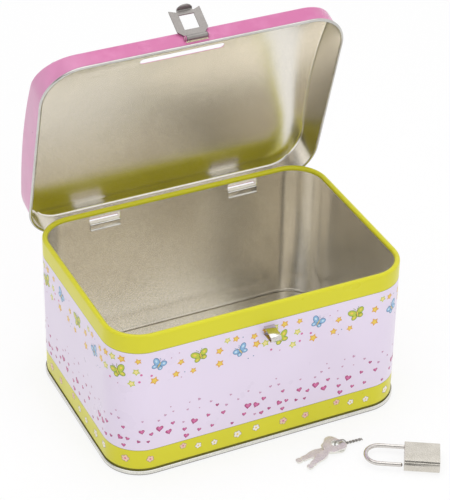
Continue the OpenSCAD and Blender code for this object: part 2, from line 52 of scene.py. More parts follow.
FLOOR_SIZE, FLOOR_SINK, FLOOR_GLOW, ROOM_LEVEL = 12, 0.2 * MM, 0.8, 0.61
TIN_MIDDLE = Vector((0, 0, 0.05))


def shader_node(tree, kind, inputs=None, **settings):
    """Adds a shader node; an input is given as a value or as the socket that feeds it."""
    made = tree.nodes.new("ShaderNode" + kind)
    for key, value in settings.items():
        setattr(made, key, value)
    for key, value in (inputs or {}).items():
        if isinstance(value, bpy.types.NodeSocket):
            tree.links.new(value, made.inputs[key])
        else:
            made.inputs[key].default_value = value
    return made


def maths(tree, operation, *values):
    """The result of a maths node."""
    return shader_node(tree, "Math", dict(enumerate(values)), operation=operation).outputs[0]


def ranged(tree, value, start, end, low=0.0, high=1.0, curve="LINEAR"):
    """Turns a value between start and end into one between low and high."""
    return shader_node(tree, "MapRange", {"Value": value, "From Min": start, "From Max": end,
                                          "To Min": low, "To Max": high},
                       interpolation_type=curve).outputs[0]


def new_material(name):
    """A material with its node tree and its shader."""
    mat = bpy.data.materials.new(name)
    mat.use_nodes = True
    return mat, mat.node_tree, mat.node_tree.nodes["Principled BSDF"]


def seen_direct(tree):
    """1 for rays that show the room itself, 0 for rays that only light the object."""
    path = shader_node(tree, "LightPath")
    shown = path.outputs["Is Camera Ray"]
    for kind in ("Is Glossy Ray", "Is Transmission Ray"):
        shown = maths(tree, "MAXIMUM", shown, path.outputs[kind])
    return shown


bpy.ops.object.select_all(action="DESELECT")
bpy.ops.mesh.primitive_grid_add(x_subdivisions=8, y_subdivisions=8, size=FLOOR_SIZE)
floor = bpy.context.active_object
floor.name = "floor"
floor.data.transform(Matrix.Translation((0, 0, -FLOOR_SINK)))
floor_paper, tree, shader = new_material("floor_paper")
shader.inputs["Base Color"].default_value = WHITE
shader.inputs["Roughness"].default_value = 0.9
shader.inputs["Specular IOR Level"].default_value = 0.1
glow = shader_node(tree, "Emission", {"Color": WHITE, "Strength": 1.0})
share = maths(tree, "MULTIPLY", seen_direct(tree), FLOOR_GLOW)
paper = shader_node(tree, "MixShader", {0: share, 1: shader.outputs[0], 2: glow.outputs[0]})
tree.links.new(paper.outputs[0], tree.nodes["Material Output"].inputs["Surface"])
floor.data.materials.append(floor_paper)

world = bpy.data.worlds.new("studio")
bpy.context.scene.world = world
world.use_nodes = True
tree = world.node_tree
back = tree.nodes["Background"]
back.inputs["Color"].default_value = WHITE
direction = shader_node(tree, "TexCoord").outputs["Generated"]


# Bare metal looks flat in a room that is white all round, so for reflected rays alone two
# parts of it are dim. Edge and core are cosines of the angle from the middle of the part.
def dim_part(toward, edge, core, left):
    """The light of the room round one direction: whole outside edge, left inside core."""
    near = shader_node(tree, "VectorMath", {0: direction, 1: toward}, operation="DOT_PRODUCT")
    return ranged(tree, near.outputs["Value"], edge, core, 1.0, left, "SMOOTHSTEP")


overhead = dim_part(toward=(-0.41, 0.03, 0.911), edge=0.55, core=0.92, left=0.14)
behind_camera = dim_part(toward=(-0.36, -0.50, 0.788), edge=0.90, core=0.975, left=0.06)
room = maths(tree, "MINIMUM", overhead, behind_camera)
path = shader_node(tree, "LightPath")
reflected = shader_node(tree, "Mix", {"Factor": path.outputs["Is Glossy Ray"], 2: 1.0, 3: room})
level = ranged(tree, seen_direct(tree), 0.0, 1.0, low=ROOM_LEVEL)
strength = maths(tree, "MULTIPLY", level, reflected.outputs[0])
tree.links.new(strength, back.inputs["Strength"])


def softbox(name, at, size, power, in_metal=True):
    """A soft lamp aimed at the tin; in_metal says whether reflections show it."""
    lamp = bpy.data.lights.new(name, "AREA")
    lamp.shape = "RECTANGLE"
    lamp.size, lamp.size_y = size
    lamp.energy = power
    stand = bpy.data.objects.new(name, lamp)
    bpy.context.scene.collection.objects.link(stand)
    stand.location = at
    stand.rotation_euler = (TIN_MIDDLE - Vector(at)).to_track_quat("-Z", "Y").to_euler()
    stand.visible_glossy = in_metal


softbox("lamp_over", at=(-0.1, 0.1, 1.3), size=(1.6, 1.2), power=8)
softbox("lamp_front", at=(0.35, -1.3, 0.75), size=(0.8, 0.8), power=3.7, in_metal=False)
softbox("lamp_left", at=(-1.2, -0.5, 0.8), size=(0.6, 0.8), power=0.3)

camera = bpy.data.cameras.new("camera")
camera.lens, camera.sensor_width, camera.sensor_fit = 148.09, 36, "AUTO"
camera.clip_start = 0.01
viewer = bpy.data.objects.new("camera", camera)
bpy.context.scene.collection.objects.link(viewer)
viewer.location = (-0.34972, -0.72747, 0.61696)
viewer.rotation_euler = [math.radians(a) for a in (56.1764, -0.9327, -25.2170)]
bpy.context.scene.camera = viewer
bpy.context.scene.view_settings.view_transform = "Standard"


# Body wall: one strip of mild steel, rolled thin and tinned, bare inside, printed and
# varnished outside. It is bent round four corners, lap-welded at the back, and rolled
# inwards at the rim into a round edge.
BODY_W, BODY_D, BODY_H, CORNER_R = 150 * MM, 106 * MM, 79 * MM, 18 * MM
TIN_T, RIM_R, CORNER_STEPS = 0.35 * MM, 1.35 * MM, 20
HINGE_X, HINGE_Y, HINGE_Z, WRAP_R = 37 * MM, 54.6 * MM, 69.3 * MM, 1.18 * MM
SLOT_HALF, SLOT_DROP, SLOT_H, SLOT_R = 8.1 * MM, 0.25 * MM, 5.3 * MM, 1.6 * MM
SLIT_HALF, SLIT_RISE, SLIT_Z = 2.65 * MM, 0.22 * MM, (67.2 * MM, 63.2 * MM)
CUT_PAST = 2 * MM
YELLOW_GREEN, LAVENDER = (0.70, 0.66, 0.022), (0.80, 0.71, 0.86)
OLIVE, FOOT_SHADE = (0.34, 0.33, 0.05), (0.23, 0.215, 0.025)
SHADE_TOP, BAND_FOOT, BAND_TOP = 3.15 * MM, 13.9 * MM, 69.3 * MM
LINE_LAP, FOOT_LINE, TOP_LINE = 0.05 * MM, 0.25 * MM, 0.2 * MM
SEAM_X, SEAM_HALF, WELD_OFF, WELD_HALF = 53 * MM, 1.0 * MM, 0.4 * MM, 0.13 * MM
SEAM_BARE, WELD_DARK = (0.60, 0.59, 0.56), (0.10, 0.10, 0.09)


def object_coords(tree):
    return shader_node(tree, "TexCoord").outputs["Object"]


def cloud(tree, size_mm, detail=3.0):
    """Noise with features of about size_mm, between 0 and 1."""
    return shader_node(tree, "TexNoise", {"Vector": object_coords(tree),
                                          "Scale": 1 / (size_mm * MM),
                                          "Detail": detail}).outputs["Fac"]


def between(tree, fac, low, high):
    """Turns noise into a value between low and high."""
    return ranged(tree, fac, 0.2, 0.8, low, high, "SMOOTHSTEP")


def blend_colour(tree, fac, one, two):
    """Colour one where fac is 0 and colour two where it is 1; each a value or a socket."""
    mix = shader_node(tree, "Mix", {"Factor": fac}, data_type="RGBA")
    for socket, colour in ((mix.inputs[6], one), (mix.inputs[7], two)):
        if isinstance(colour, bpy.types.NodeSocket):
            tree.links.new(colour, socket)
        else:
            socket.default_value = (*colour, 1)
    return mix.outputs[2]


def bumped(tree, shader, fac, height_mm):
    """Adds a bump of this height over any that the surface has already."""
    bump = shader_node(tree, "Bump", {"Height": fac, "Distance": height_mm * MM, "Strength": 1.0})
    if shader.inputs["Normal"].is_linked:
        tree.links.new(shader.inputs["Normal"].links[0].from_socket, bump.inputs["Normal"])
    tree.links.new(bump.outputs[0], shader.inputs["Normal"])


def metal(name, light, dark, rough, grain_mm, grain_depth, cloud_mm):
    """Bare metal with a fine grain and faint clouds in its colour and its polish."""
    mat, tree, shader = new_material(name)
    shader.inputs["Metallic"].default_value = 1.0
    clouds = cloud(tree, cloud_mm)
    grain = cloud(tree, grain_mm, 4.0)
    tint = blend_colour(tree, between(tree, clouds, 0, 1), dark, light)
    speck = between(tree, grain, 0.87, 1.12)
    hue = shader_node(tree, "HueSaturation", {"Value": speck, "Color": tint})
    tree.links.new(hue.outputs[0], shader.inputs["Base Color"])
    spread = ranged(tree, maths(tree, "ADD", clouds, grain), 0.6, 1.4, *rough)
    tree.links.new(spread, shader.inputs["Roughness"])
    bumped(tree, shader, grain, grain_depth)
    return mat


def start_piece(name):
    """An empty mesh in edit mode, begun from one vertex at the origin."""
    bpy.ops.object.select_all(action="DESELECT")
    bpy.ops.mesh.primitive_plane_add(size=MM)
    piece = bpy.context.active_object
    piece.name = piece.data.name = name
    bpy.ops.object.mode_set(mode="EDIT")
    bpy.ops.mesh.select_mode(type="VERT")
    bpy.ops.mesh.select_all(action="SELECT")
    bpy.ops.mesh.merge(type="CENTER")
    return piece


def pull(step):
    """Extrudes what is selected by one step."""
    bpy.ops.mesh.extrude_region_move(TRANSFORM_OT_translate={"value": step})


def draw_line(points):
    """Extrudes the single selected vertex through the points."""
    bpy.ops.transform.translate(value=points[0])
    for a, b in zip(points, points[1:]):
        pull(Vector(b) - Vector(a))
    bpy.ops.mesh.select_all(action="SELECT")


def end_edit(threshold=1e-6):
    """Merges doubles, turns the faces outwards and leaves edit mode."""
    bpy.ops.mesh.select_all(action="SELECT")
    bpy.ops.mesh.remove_doubles(threshold=threshold)
    bpy.ops.mesh.normals_make_consistent(inside=False)
    bpy.ops.object.mode_set(mode="OBJECT")


def run_round(w, d, r):
    """Carries the selected section once round a rectangle with round corners."""
    cx, cy = w / 2 - r, d / 2 - r
    pull((0, cy, 0))
    for x, y, side in ((cx, cy, (-2 * cx, 0, 0)), (-cx, cy, (0, -2 * cy, 0)),
                       (-cx, -cy, (2 * cx, 0, 0)), (cx, -cy, (0, cy, 0))):
        bpy.ops.mesh.spin(steps=CORNER_STEPS, angle=-math.pi / 2, center=(x, y, 0), axis=(0, 0, 1))
        pull(side)


def apply_modifier(piece, kind, **settings):
    mod = piece.modifiers.new(kind.lower(), kind)
    for key, value in settings.items():
        setattr(mod, key, value)
    bpy.context.view_layer.objects.active = piece
    bpy.ops.object.modifier_apply(modifier=mod.name)


def pick(*pieces):
    """Selects these pieces, and makes the first the active one."""
    bpy.ops.object.select_all(action="DESELECT")
    for piece in pieces:
        piece.select_set(True)
    bpy.context.view_layer.objects.active = pieces[0]


def smooth(piece, degrees=35):
    pick(piece)
    bpy.ops.object.shade_smooth_by_angle(angle=math.radians(degrees))


def finish_in(piece, *mats):
    """Gives a piece these materials in place of any that it has."""
    piece.data.materials.clear()
    for mat in mats:
        piece.data.materials.append(mat)


def cut_with(piece, cutter):
    """Cuts the cutter out of the piece and removes it."""
    apply_modifier(piece, "BOOLEAN", operation="DIFFERENCE", object=cutter, solver="EXACT")
    bpy.data.objects.remove(cutter)


def block(name, low, high, bevel=0.0, segments=3, along=None):
    """A box between two corners, with all its edges rounded or only those along one axis."""
    low, high = Vector(low), Vector(high)
    bpy.ops.object.select_all(action="DESELECT")
    bpy.ops.mesh.primitive_cube_add(size=1)
    piece = bpy.context.active_object
    piece.name = piece.data.name = name
    piece.data.transform(Matrix.Translation((low + high) / 2)
                         @ Matrix.Diagonal((*(high - low), 1)))
    if bevel:
        bpy.ops.object.mode_set(mode="EDIT")
        mesh = bmesh.from_edit_mesh(piece.data)
        for edge in mesh.edges:
            run = (edge.verts[1].co - edge.verts[0].co).normalized()
            edge.select = along is None or abs(run[along]) > 0.9
        bmesh.update_edit_mesh(piece.data)
        bpy.ops.mesh.bevel(offset=bevel, segments=segments, affect="EDGES")
        bpy.ops.object.mode_set(mode="OBJECT")
    return piece


def in_mm(points):
    """Points given in millimetres, as the scene has them, in metres."""
    return [tuple(c * MM for c in point) for point in points]


def arc(centre, r, start, end, steps):
    """Points on a circle, from one angle to another in degrees."""
    turns = [math.radians(start + (end - start) * i / steps) for i in range(steps + 1)]
    return [(centre[0] + r * math.cos(t), centre[1] + r * math.sin(t)) for t in turns]


def printed(name):
    """Ink on tinplate under a gloss varnish, with orange peel."""
    mat, tree, shader = new_material(name)
    shader.inputs["Metallic"].default_value = 0.0
    shader.inputs["Specular IOR Level"].default_value = 0.22
    shader.inputs["Coat Weight"].default_value = 0.3
    shader.inputs["Coat Roughness"].default_value = 0.13
    shader.inputs["Coat IOR"].default_value = 1.5
    tree.links.new(between(tree, cloud(tree, 14), 0.26, 0.38), shader.inputs["Roughness"])
    bumped(tree, shader, cloud(tree, 1.6, 2.0), 0.004)
    return mat, tree, shader


tin_bare = metal("tinplate_bare", light=(0.93, 0.895, 0.82), dark=(0.83, 0.795, 0.73),
                 rough=(0.17, 0.27), grain_mm=0.5, grain_depth=0.0015, cloud_mm=45)
body_ink, tree, shader = printed("body_print")
place = shader_node(tree, "SeparateXYZ", {0: object_coords(tree)})
level = ranged(tree, place.outputs["Z"], 0.0, BODY_H)
bands = shader_node(tree, "ValToRGB", {0: level})
ramp = bands.color_ramp
ramp.interpolation = "CONSTANT"
# The first colour, from the foot of the wall up to SHADE_TOP, is painted shade: the dark line above
# the hem where the wall necks in.
stops = [(0.0, FOOT_SHADE), (SHADE_TOP, YELLOW_GREEN),
         (BAND_FOOT - FOOT_LINE, OLIVE), (BAND_FOOT + LINE_LAP, LAVENDER),
         (BAND_TOP - LINE_LAP, OLIVE), (BAND_TOP + TOP_LINE, YELLOW_GREEN)]
while len(ramp.elements) < len(stops):
    ramp.elements.new(0.5)
for element, (z, colour) in zip(ramp.elements, stops):
    element.position = z / BODY_H
    element.color = (*colour, 1)
shade = between(tree, cloud(tree, 30, 1.0), 0.985, 1.015)
toned = shader_node(tree, "HueSaturation", {"Value": shade, "Color": bands.outputs[0]})
near_seam = maths(tree, "COMPARE", place.outputs["X"], SEAM_X, SEAM_HALF)
at_back = maths(tree, "GREATER_THAN", place.outputs["Y"], 0.0)
below = maths(tree, "LESS_THAN", place.outputs["Z"], BAND_TOP)
margin = maths(tree, "MULTIPLY", near_seam, maths(tree, "MULTIPLY", at_back, below))
weld = maths(tree, "COMPARE", place.outputs["X"], SEAM_X + WELD_OFF, WELD_HALF)
bare = blend_colour(tree, weld, SEAM_BARE, WELD_DARK)
tree.links.new(blend_colour(tree, margin, toned.outputs[0], bare), shader.inputs["Base Color"])
tree.links.new(margin, shader.inputs["Metallic"])

# The section of the wall, as millimetres outwards and up: the groove at its foot, the
# straight wall and the roll of the rim.
wall_section = in_mm([(0, 0.4), (0, 2.4), (-0.28, 2.45), (-0.28, 3.0), (0, 3.08), (0, 13.9),
                      (0, 40), (0, 69.3)])
wall_section += arc((-RIM_R, BODY_H - RIM_R), RIM_R, 0, 262, 18)
body = start_piece("body_wall_printed")
draw_line([(BODY_W / 2 + u, 0, z) for u, z in wall_section])
run_round(BODY_W, BODY_D, CORNER_R)
end_edit(threshold=1e-5)
finish_in(body, body_ink, tin_bare)
apply_modifier(body, "SOLIDIFY", thickness=TIN_T, offset=-1, material_offset=1,
               material_offset_rim=1)
for side in (-1, 1):
    x, low = side * HINGE_X, HINGE_Z + WRAP_R - SLOT_DROP
    cut_with(body, block("slot_cutter", (x - SLOT_HALF, BODY_D / 2 - CUT_PAST, low),
                         (x + SLOT_HALF, BODY_D / 2 + CUT_PAST, low + SLOT_H),
                         bevel=SLOT_R, segments=5, along=1))
for z in SLIT_Z:
    cut_with(body, block("slit_cutter", (-SLIT_HALF, -BODY_D / 2 - CUT_PAST, z - SLIT_RISE),
                         (SLIT_HALF, -BODY_D / 2 + CUT_PAST, z + SLIT_RISE)))
smooth(body)
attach(body, "tin")
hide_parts("body_wall")


# The print on the wall: inks laid over the lavender ground in one block that comes
# round again every 80 mm, drawn flat on the sheet before the sheet is bent.
INK_GAP, INK_STEP, REPEATS, SEED = 0.022 * MM, 0.012 * MM, 6, 11
AROUND = 2 * (BODY_W + BODY_D) - 8 * CORNER_R + 2 * math.pi * CORNER_R
PERIOD = AROUND / REPEATS
GOLD, ORANGE, STRAW = (0.86, 0.62, 0.10), (0.72, 0.36, 0.06), (0.88, 0.74, 0.30)
LEAF, MOSS = (0.52, 0.60, 0.06), (0.24, 0.30, 0.05)
SKY, SLATE, MIST = (0.26, 0.47, 0.72), (0.15, 0.26, 0.42), (0.56, 0.74, 0.84)
ROSE, MAUVE, PLUM = (0.66, 0.16, 0.36), (0.56, 0.30, 0.46), (0.42, 0.07, 0.21)
CREAM, BLUSH, TAUPE = (0.92, 0.88, 0.80), (0.88, 0.60, 0.44), (0.36, 0.26, 0.16)


def start_film(name):
    """An empty mesh in edit mode that holds ink patches and their colours."""
    bpy.ops.object.select_all(action="DESELECT")
    bpy.ops.mesh.primitive_plane_add(size=MM)
    film = bpy.context.active_object
    film.name = film.data.name = name
    film.data.color_attributes.new("ink", "FLOAT_COLOR", "CORNER")
    bpy.ops.object.mode_set(mode="EDIT")
    bpy.ops.mesh.delete(type="VERT")
    return film


def ink(film, outline, colour, layer, at=(0, 0), size=1.0, turn=0.0, mirror=1):
    """Prints one closed outline, given in millimetres, as a flat patch of colour."""
    bpy.ops.mesh.select_all(action="DESELECT")
    bpy.ops.mesh.primitive_circle_add(vertices=len(outline), radius=MM, fill_type="NGON")
    mesh = bmesh.from_edit_mesh(film.data)
    c, s = math.cos(math.radians(turn)) * size * MM, math.sin(math.radians(turn)) * size * MM
    for vert, (u, v) in zip([v for v in mesh.verts if v.select], outline):
        vert.co = (at[0] * MM + mirror * u * c - v * s, at[1] * MM + mirror * u * s + v * c,
                   layer * INK_STEP)
    tint = mesh.loops.layers.float_color["ink"]
    for face in mesh.faces:
        if face.select:
            for loop in face.loops:
                loop[tint] = (*colour, 1)
    bmesh.update_edit_mesh(film.data)


def oval(x, y, rx, ry, turn=0, n=18):
    c, s = math.cos(math.radians(turn)), math.sin(math.radians(turn))
    turns = [2 * math.pi * i / n for i in range(n)]
    ring = [(rx * math.cos(t), ry * math.sin(t)) for t in turns]
    return [(x + c * u - s * v, y + s * u + c * v) for u, v in ring]


def star(r, waist=0.56):
    """Five points at the radius r, and the notches between them at waist times r."""
    turns = [math.pi * i / 5 for i in range(10)]
    return [(r * (1, waist)[i % 2] * math.cos(t), r * (1, waist)[i % 2] * math.sin(t))
            for i, t in enumerate(turns)]


def heart(w):
    """The usual heart curve, which is 32 units wide, scaled to the width w."""
    turns = [2 * math.pi * i / 18 for i in range(18)]
    return [(w / 2 * math.sin(t) ** 3,
             w / 32 * (13 * math.cos(t) - 5 * math.cos(2 * t) - 2 * math.cos(3 * t)
                       - math.cos(4 * t)))
            for t in turns]


def ink_star(film, at, size, turn, rim, fill):
    """A round-shouldered star with a darker rim."""
    ink(film, star(1.0), rim, 0, at, size, turn)
    ink(film, star(0.62, 0.62), fill, 1, at, size, turn)


def ink_flower(film, at, size, turn, petal, eye):
    """Five round petals, each with a dark rim, round an eye."""
    ring = [(0.58 * math.cos(math.radians(72 * i)), 0.58 * math.sin(math.radians(72 * i)))
            for i in range(5)]
    for x, y in ring:
        ink(film, oval(x, y, 0.50, 0.50), TAUPE, 0, at, size, turn)
    for x, y in ring:
        ink(film, oval(x, y, 0.38, 0.38), petal, 1, at, size, turn)
    ink(film, oval(0, 0, 0.27, 0.27), eye, 2, at, size, turn)


def ink_butterfly(film, at, size, turn, mirror, dark, light, spot):
    """Spotted wings on both sides of a body with feelers, smaller on the far side."""
    for side in (-1, 1):
        for x, y, rx, ry, lean in ((1.75, 1.05, 1.95, 1.25, 38), (1.35, -1.0, 1.3, 1.0, -38)):
            wing = (at, size, turn, mirror * side)
            grow = 1.0 if side > 0 else 0.78
            x, rx = x * grow, rx * grow
            ink(film, oval(x, y, rx, ry, lean), dark, 0, *wing)
            ink(film, oval(x + 0.05, y, rx - 0.28, ry - 0.28, lean), light, 1, *wing)
            ink(film, oval(x * 1.12, y * 1.12, rx * 0.34, ry * 0.34, lean), spot, 2, *wing)
        for reach in (0.45, 0.9):
            ink(film, oval(reach, 1.5 + 1.3 * reach, 0.13, 0.34, -28, 8), dark, 2,
                at, size, turn, side)
    ink(film, oval(0, 0, 0.34, 1.55), dark, 3, at, size, turn)
    ink(film, oval(0, 0.05, 0.20, 1.3), GOLD, 4, at, size, turn)


def scatter(rng, count, low, high, apart, taken, across):
    """Places spots in a strip that repeats along its length, none closer than apart."""
    spots = []
    for _ in range(count * 60):
        spot = (rng.uniform(0, across), rng.uniform(low, high))
        near = [abs((spot[0] - x + across / 2) % across - across / 2) ** 2 + (spot[1] - y) ** 2
                for x, y, _ in taken + [(*p, 0) for p in spots]]
        reach = [(apart + r) ** 2 for _, _, r in taken] + [apart ** 2] * len(spots)
        if all(d > r for d, r in zip(near, reach)):
            spots.append(spot)
        if len(spots) == count:
            break
    return spots


def repeat_along(film, period, times):
    """Ends the drawing and copies it along the strip."""
    bpy.ops.mesh.select_all(action="SELECT")
    bpy.ops.mesh.quads_convert_to_tris()
    bpy.ops.object.mode_set(mode="OBJECT")
    apply_modifier(film, "ARRAY", count=times, use_relative_offset=False,
                   use_constant_offset=True, constant_offset_displace=(period, 0, 0))


def along_wall(s, w, d, r):
    """The place and the outward direction at a distance s along the wall, from its front middle."""
    at, heading = Vector((0, -d / 2, 0)), 0.0
    bend = r * math.pi / 2
    sides = [w / 2 - r, bend, d - 2 * r, bend, w - 2 * r, bend, d - 2 * r, bend, w / 2 - r]
    for i, length in enumerate(sides):
        step = min(s, length)
        if i % 2:
            centre = at + r * Vector((-math.sin(heading), math.cos(heading), 0))
            heading += step / r
            at = centre + r * Vector((math.sin(heading), -math.cos(heading), 0))
        else:
            at = at + step * Vector((math.cos(heading), math.sin(heading), 0))
        s -= step
        if s <= 0:
            break
    return at, Vector((math.sin(heading), -math.cos(heading), 0))


def wrap_film(film, w, d, r):
    """Bends a flat strip, drawn with x along it and y up, round the wall."""
    total = 2 * (w + d) - 8 * r + 2 * math.pi * r
    bend = r * math.pi / 2
    starts = [w / 2 - r, w / 2 - r + bend + d - 2 * r]
    starts += [total - s - bend for s in starts]
    bpy.context.view_layer.objects.active = film
    bpy.ops.object.mode_set(mode="EDIT")
    for start in starts:
        for i in range(CORNER_STEPS):
            cut = start + bend * i / (CORNER_STEPS - 1)
            for x in (cut, cut + total) if cut < w / 2 else (cut,):
                bpy.ops.mesh.select_all(action="SELECT")
                bpy.ops.mesh.bisect(plane_co=(x, 0, 0), plane_no=(1, 0, 0))
    bpy.ops.object.mode_set(mode="OBJECT")
    for vert in film.data.vertices:
        at, out = along_wall(vert.co.x % total, w, d, r)
        vert.co = at + out * (INK_GAP + vert.co.z) + Vector((0, 0, vert.co.y))
    apply_modifier(film, "SOLIDIFY", thickness=INK_STEP, offset=-1)


motif_ink, tree, shader = printed("motif_ink")
colour = shader_node(tree, "VertexColor", layer_name="ink").outputs["Color"]
screen = between(tree, cloud(tree, 0.7, 2.0), 0.93, 1.05)
toned = shader_node(tree, "HueSaturation", {"Value": screen, "Color": colour})
tree.links.new(toned.outputs[0], shader.inputs["Base Color"])

rng = random.Random(SEED)
across = PERIOD / MM

# Each butterfly: its place, its turn in degrees, whether it is mirrored (-1) and green (1).
flyers = [(6.0, 58.0, 24, 1, 1), (25.5, 61.5, -30, -1, 0), (46.0, 60.5, 12, -1, 1),
          (66.0, 57.0, 32, 1, 0)]
winged = start_film("print_butterflies")
for x, z, turn, mirror, green in flyers:
    dark, light, spot = (MOSS, LEAF, GOLD) if green else (SLATE, SKY, MIST)
    ink_butterfly(winged, (x, z), 1.36 if green else 1.22, turn, mirror, dark, light, spot)
repeat_along(winged, PERIOD, REPEATS)

starry = start_film("print_stars")
taken = [(x, z, 3.0) for x, z, _, _, _ in flyers]
strewn = scatter(rng, count=17, low=52.5, high=65.8, apart=4.3, taken=taken, across=across)
for i, (x, z) in enumerate(strewn):
    rim, fill = ((ORANGE, GOLD), (ORANGE, GOLD), (LEAF, STRAW))[i % 3]
    ink_star(starry, (x, z), rng.uniform(1.75, 2.35), rng.uniform(0, 72), rim, fill)
    taken.append((x, z, 0.6))
strewn = scatter(rng, count=12, low=51.0, high=67.0, apart=2.2, taken=taken, across=across)
for i, (x, z) in enumerate(strewn):
    colour, size = ((ROSE, 0.62), (MAUVE, 0.34), (SLATE, 0.3))[i % 3]
    ink(starry, oval(0, 0, 1, 1, n=10), colour, 0, (x, z), size)
repeat_along(starry, PERIOD, REPEATS)

hearts = start_film("print_hearts")
taken = []
for low, high, count, wide in ((16.4, 26.0, 14, 3.7), (16.0, 31.0, 18, 2.3),
                               (25.0, 36.0, 14, 1.6)):
    for x, z in scatter(rng, count, low, high, apart=3.3, taken=taken, across=across):
        w = wide * rng.uniform(0.5, 1.05)
        ink(hearts, heart(w), PLUM if w > 1.7 else MAUVE, 0, (x, z), 1.0, rng.uniform(-32, 20))
        if w > 2:
            ink(hearts, heart(w * 0.62), ROSE, 1, (x + 0.1, z + 0.1), 1.0, rng.uniform(-20, 0))
        taken.append((x, z, w * 0.3))
repeat_along(hearts, PERIOD, REPEATS)

blooms = start_film("print_flowers")
strewn = scatter(rng, count=7, low=5.2, high=11.2, apart=6.8, taken=[], across=across)
for i, (x, z) in enumerate(strewn):
    petal, eye = ((CREAM, GOLD), (BLUSH, ROSE))[i % 2]
    ink_flower(blooms, (x, z), rng.uniform(1.6, 2.0), rng.uniform(0, 72), petal, eye)
repeat_along(blooms, PERIOD, REPEATS)

for film in (winged, starry, hearts, blooms):
    wrap_film(film, BODY_W, BODY_D, CORNER_R)
    finish_in(film, motif_ink)
    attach(film, "tin")


# Base: a pressed tinplate panel with a raised field. Its edge turns down, makes the
# ring that the tin stands on, and is folded up round the foot of the wall as a hem.
HEM_OUT, PANEL_Z, JOIN_IN = 0.75 * MM, 1.9 * MM, 1.5 * MM
FIELD_IN, FIELD_R, FIELD_RISE = 12 * MM, 12 * MM, 0.8 * MM
FIELD_SLOPE, FIELD_EDGE = 0.5 * MM, 0.4 * MM
HEM_SHADE_LOW, HEM_SHADE_HIGH, HEM_SHADE_GREY = 0.45 * MM, 0.85 * MM, (0.30, 0.295, 0.28)


def round_plan(w, d, r, z):
    """Adds a flat face with round corners to the piece in hand."""
    bpy.ops.mesh.select_all(action="DESELECT")
    bpy.ops.mesh.primitive_plane_add(size=1, location=(0, 0, z))
    bpy.ops.transform.resize(value=(w, d, 1), center_override=(0, 0, z))
    bpy.ops.mesh.bevel(offset=r, segments=CORNER_STEPS, affect="VERTICES")


def select_edges(piece, test):
    """Selects the edges that pass a test, and nothing else."""
    bpy.ops.mesh.select_mode(type="EDGE")
    bpy.ops.mesh.select_all(action="DESELECT")
    mesh = bmesh.from_edit_mesh(piece.data)
    for edge in mesh.edges:
        edge.select = bool(test(edge))
    bmesh.update_edit_mesh(piece.data)


hem_tin = metal("tinplate_hem", light=(0.78, 0.77, 0.715), dark=(0.68, 0.67, 0.625),
                rough=(0.14, 0.24), grain_mm=0.5, grain_depth=0.0012, cloud_mm=12)
tree, shader = hem_tin.node_tree, hem_tin.node_tree.nodes["Principled BSDF"]
# The lowest part of the hem's outside darkens to grey: painted shade along the underside of the
# foot roll.
height = shader_node(tree, "SeparateXYZ", {0: object_coords(tree)}).outputs["Z"]
painted_hem_shade = ranged(tree, height, HEM_SHADE_LOW, HEM_SHADE_HIGH)
unshaded = shader.inputs["Base Color"].links[0].from_socket
tree.links.new(blend_colour(tree, painted_hem_shade, HEM_SHADE_GREY, unshaded), shader.inputs["Base Color"])

# The section of the hem, as millimetres outwards and up: from the lip on the wall down
# the outside to the foot, round it, up the inside and round again into the panel.
lip_to_foot = ((0.40, 2.28), (0.45, 2.38), (0.51, 2.34), (0.58, 2.12), (0.65, 1.80), (0.70, 1.45),
               (0.74, 1.1), (0.75, 0.8), (0.735, 0.5), (0.69, 0.25), (0.61, 0.08), (0.45, 0))
foot_turn = ((0.3, 0), (0.09, 0.09), (0, 0.3))
panel_turn = ((0, -0.2), (-0.06, -0.06), (-0.2, 0))
under = PANEL_Z - TIN_T
hem = in_mm(lip_to_foot)
hem += [(u * MM - HEM_OUT, z * MM) for u, z in foot_turn]
hem += [(u * MM - HEM_OUT, under + z * MM) for u, z in panel_turn]
hem += [(-JOIN_IN, under)]
base = start_piece("base_pan")
draw_line([(BODY_W / 2 + u, 0, z) for u, z in hem])
run_round(BODY_W, BODY_D, CORNER_R)
round_plan(BODY_W - 2 * JOIN_IN, BODY_D - 2 * JOIN_IN, CORNER_R - JOIN_IN, under)
bpy.ops.mesh.delete(type="ONLY_FACE")
field = (BODY_W - 2 * FIELD_IN, BODY_D - 2 * FIELD_IN)
round_plan(*field, FIELD_R, under)
bpy.ops.mesh.delete(type="ONLY_FACE")
select_edges(base, lambda e: len(e.link_faces) == 0)
bpy.ops.mesh.bridge_edge_loops()
select_edges(base, lambda e: len(e.link_faces) == 1
             and max(abs(v.co.x) - field[0] / 2 for v in e.verts) < 1e-5
             and max(abs(v.co.y) - field[1] / 2 for v in e.verts) < 1e-5)
bpy.ops.mesh.edge_face_add()
bpy.ops.mesh.inset(thickness=FIELD_SLOPE, use_even_offset=True)
bpy.ops.transform.translate(value=(0, 0, FIELD_RISE))
bpy.ops.mesh.inset(thickness=FIELD_EDGE, use_even_offset=True)
end_edit(threshold=2e-5)
finish_in(base, hem_tin, tin_bare)
apply_modifier(base, "SOLIDIFY", thickness=TIN_T, offset=-1, material_offset=1)
smooth(base, 40)
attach(base, "tin")
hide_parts("base_plate")


# Hinge straps: two strips of tinplate that wrap the bead of the lid, come in through
# slots in the back wall and are folded down inside it, each ending in a small hem.
STRAP_W, STRAP_T, FOLD_R = 15.6 * MM, 0.5 * MM, 0.3 * MM
WRAP_OUT, TAIL_L, TAIL_HEM = WRAP_R + STRAP_T, 2.7 * MM, 0.4 * MM
AIR, EDGE_R = 0.02 * MM, 0.1 * MM


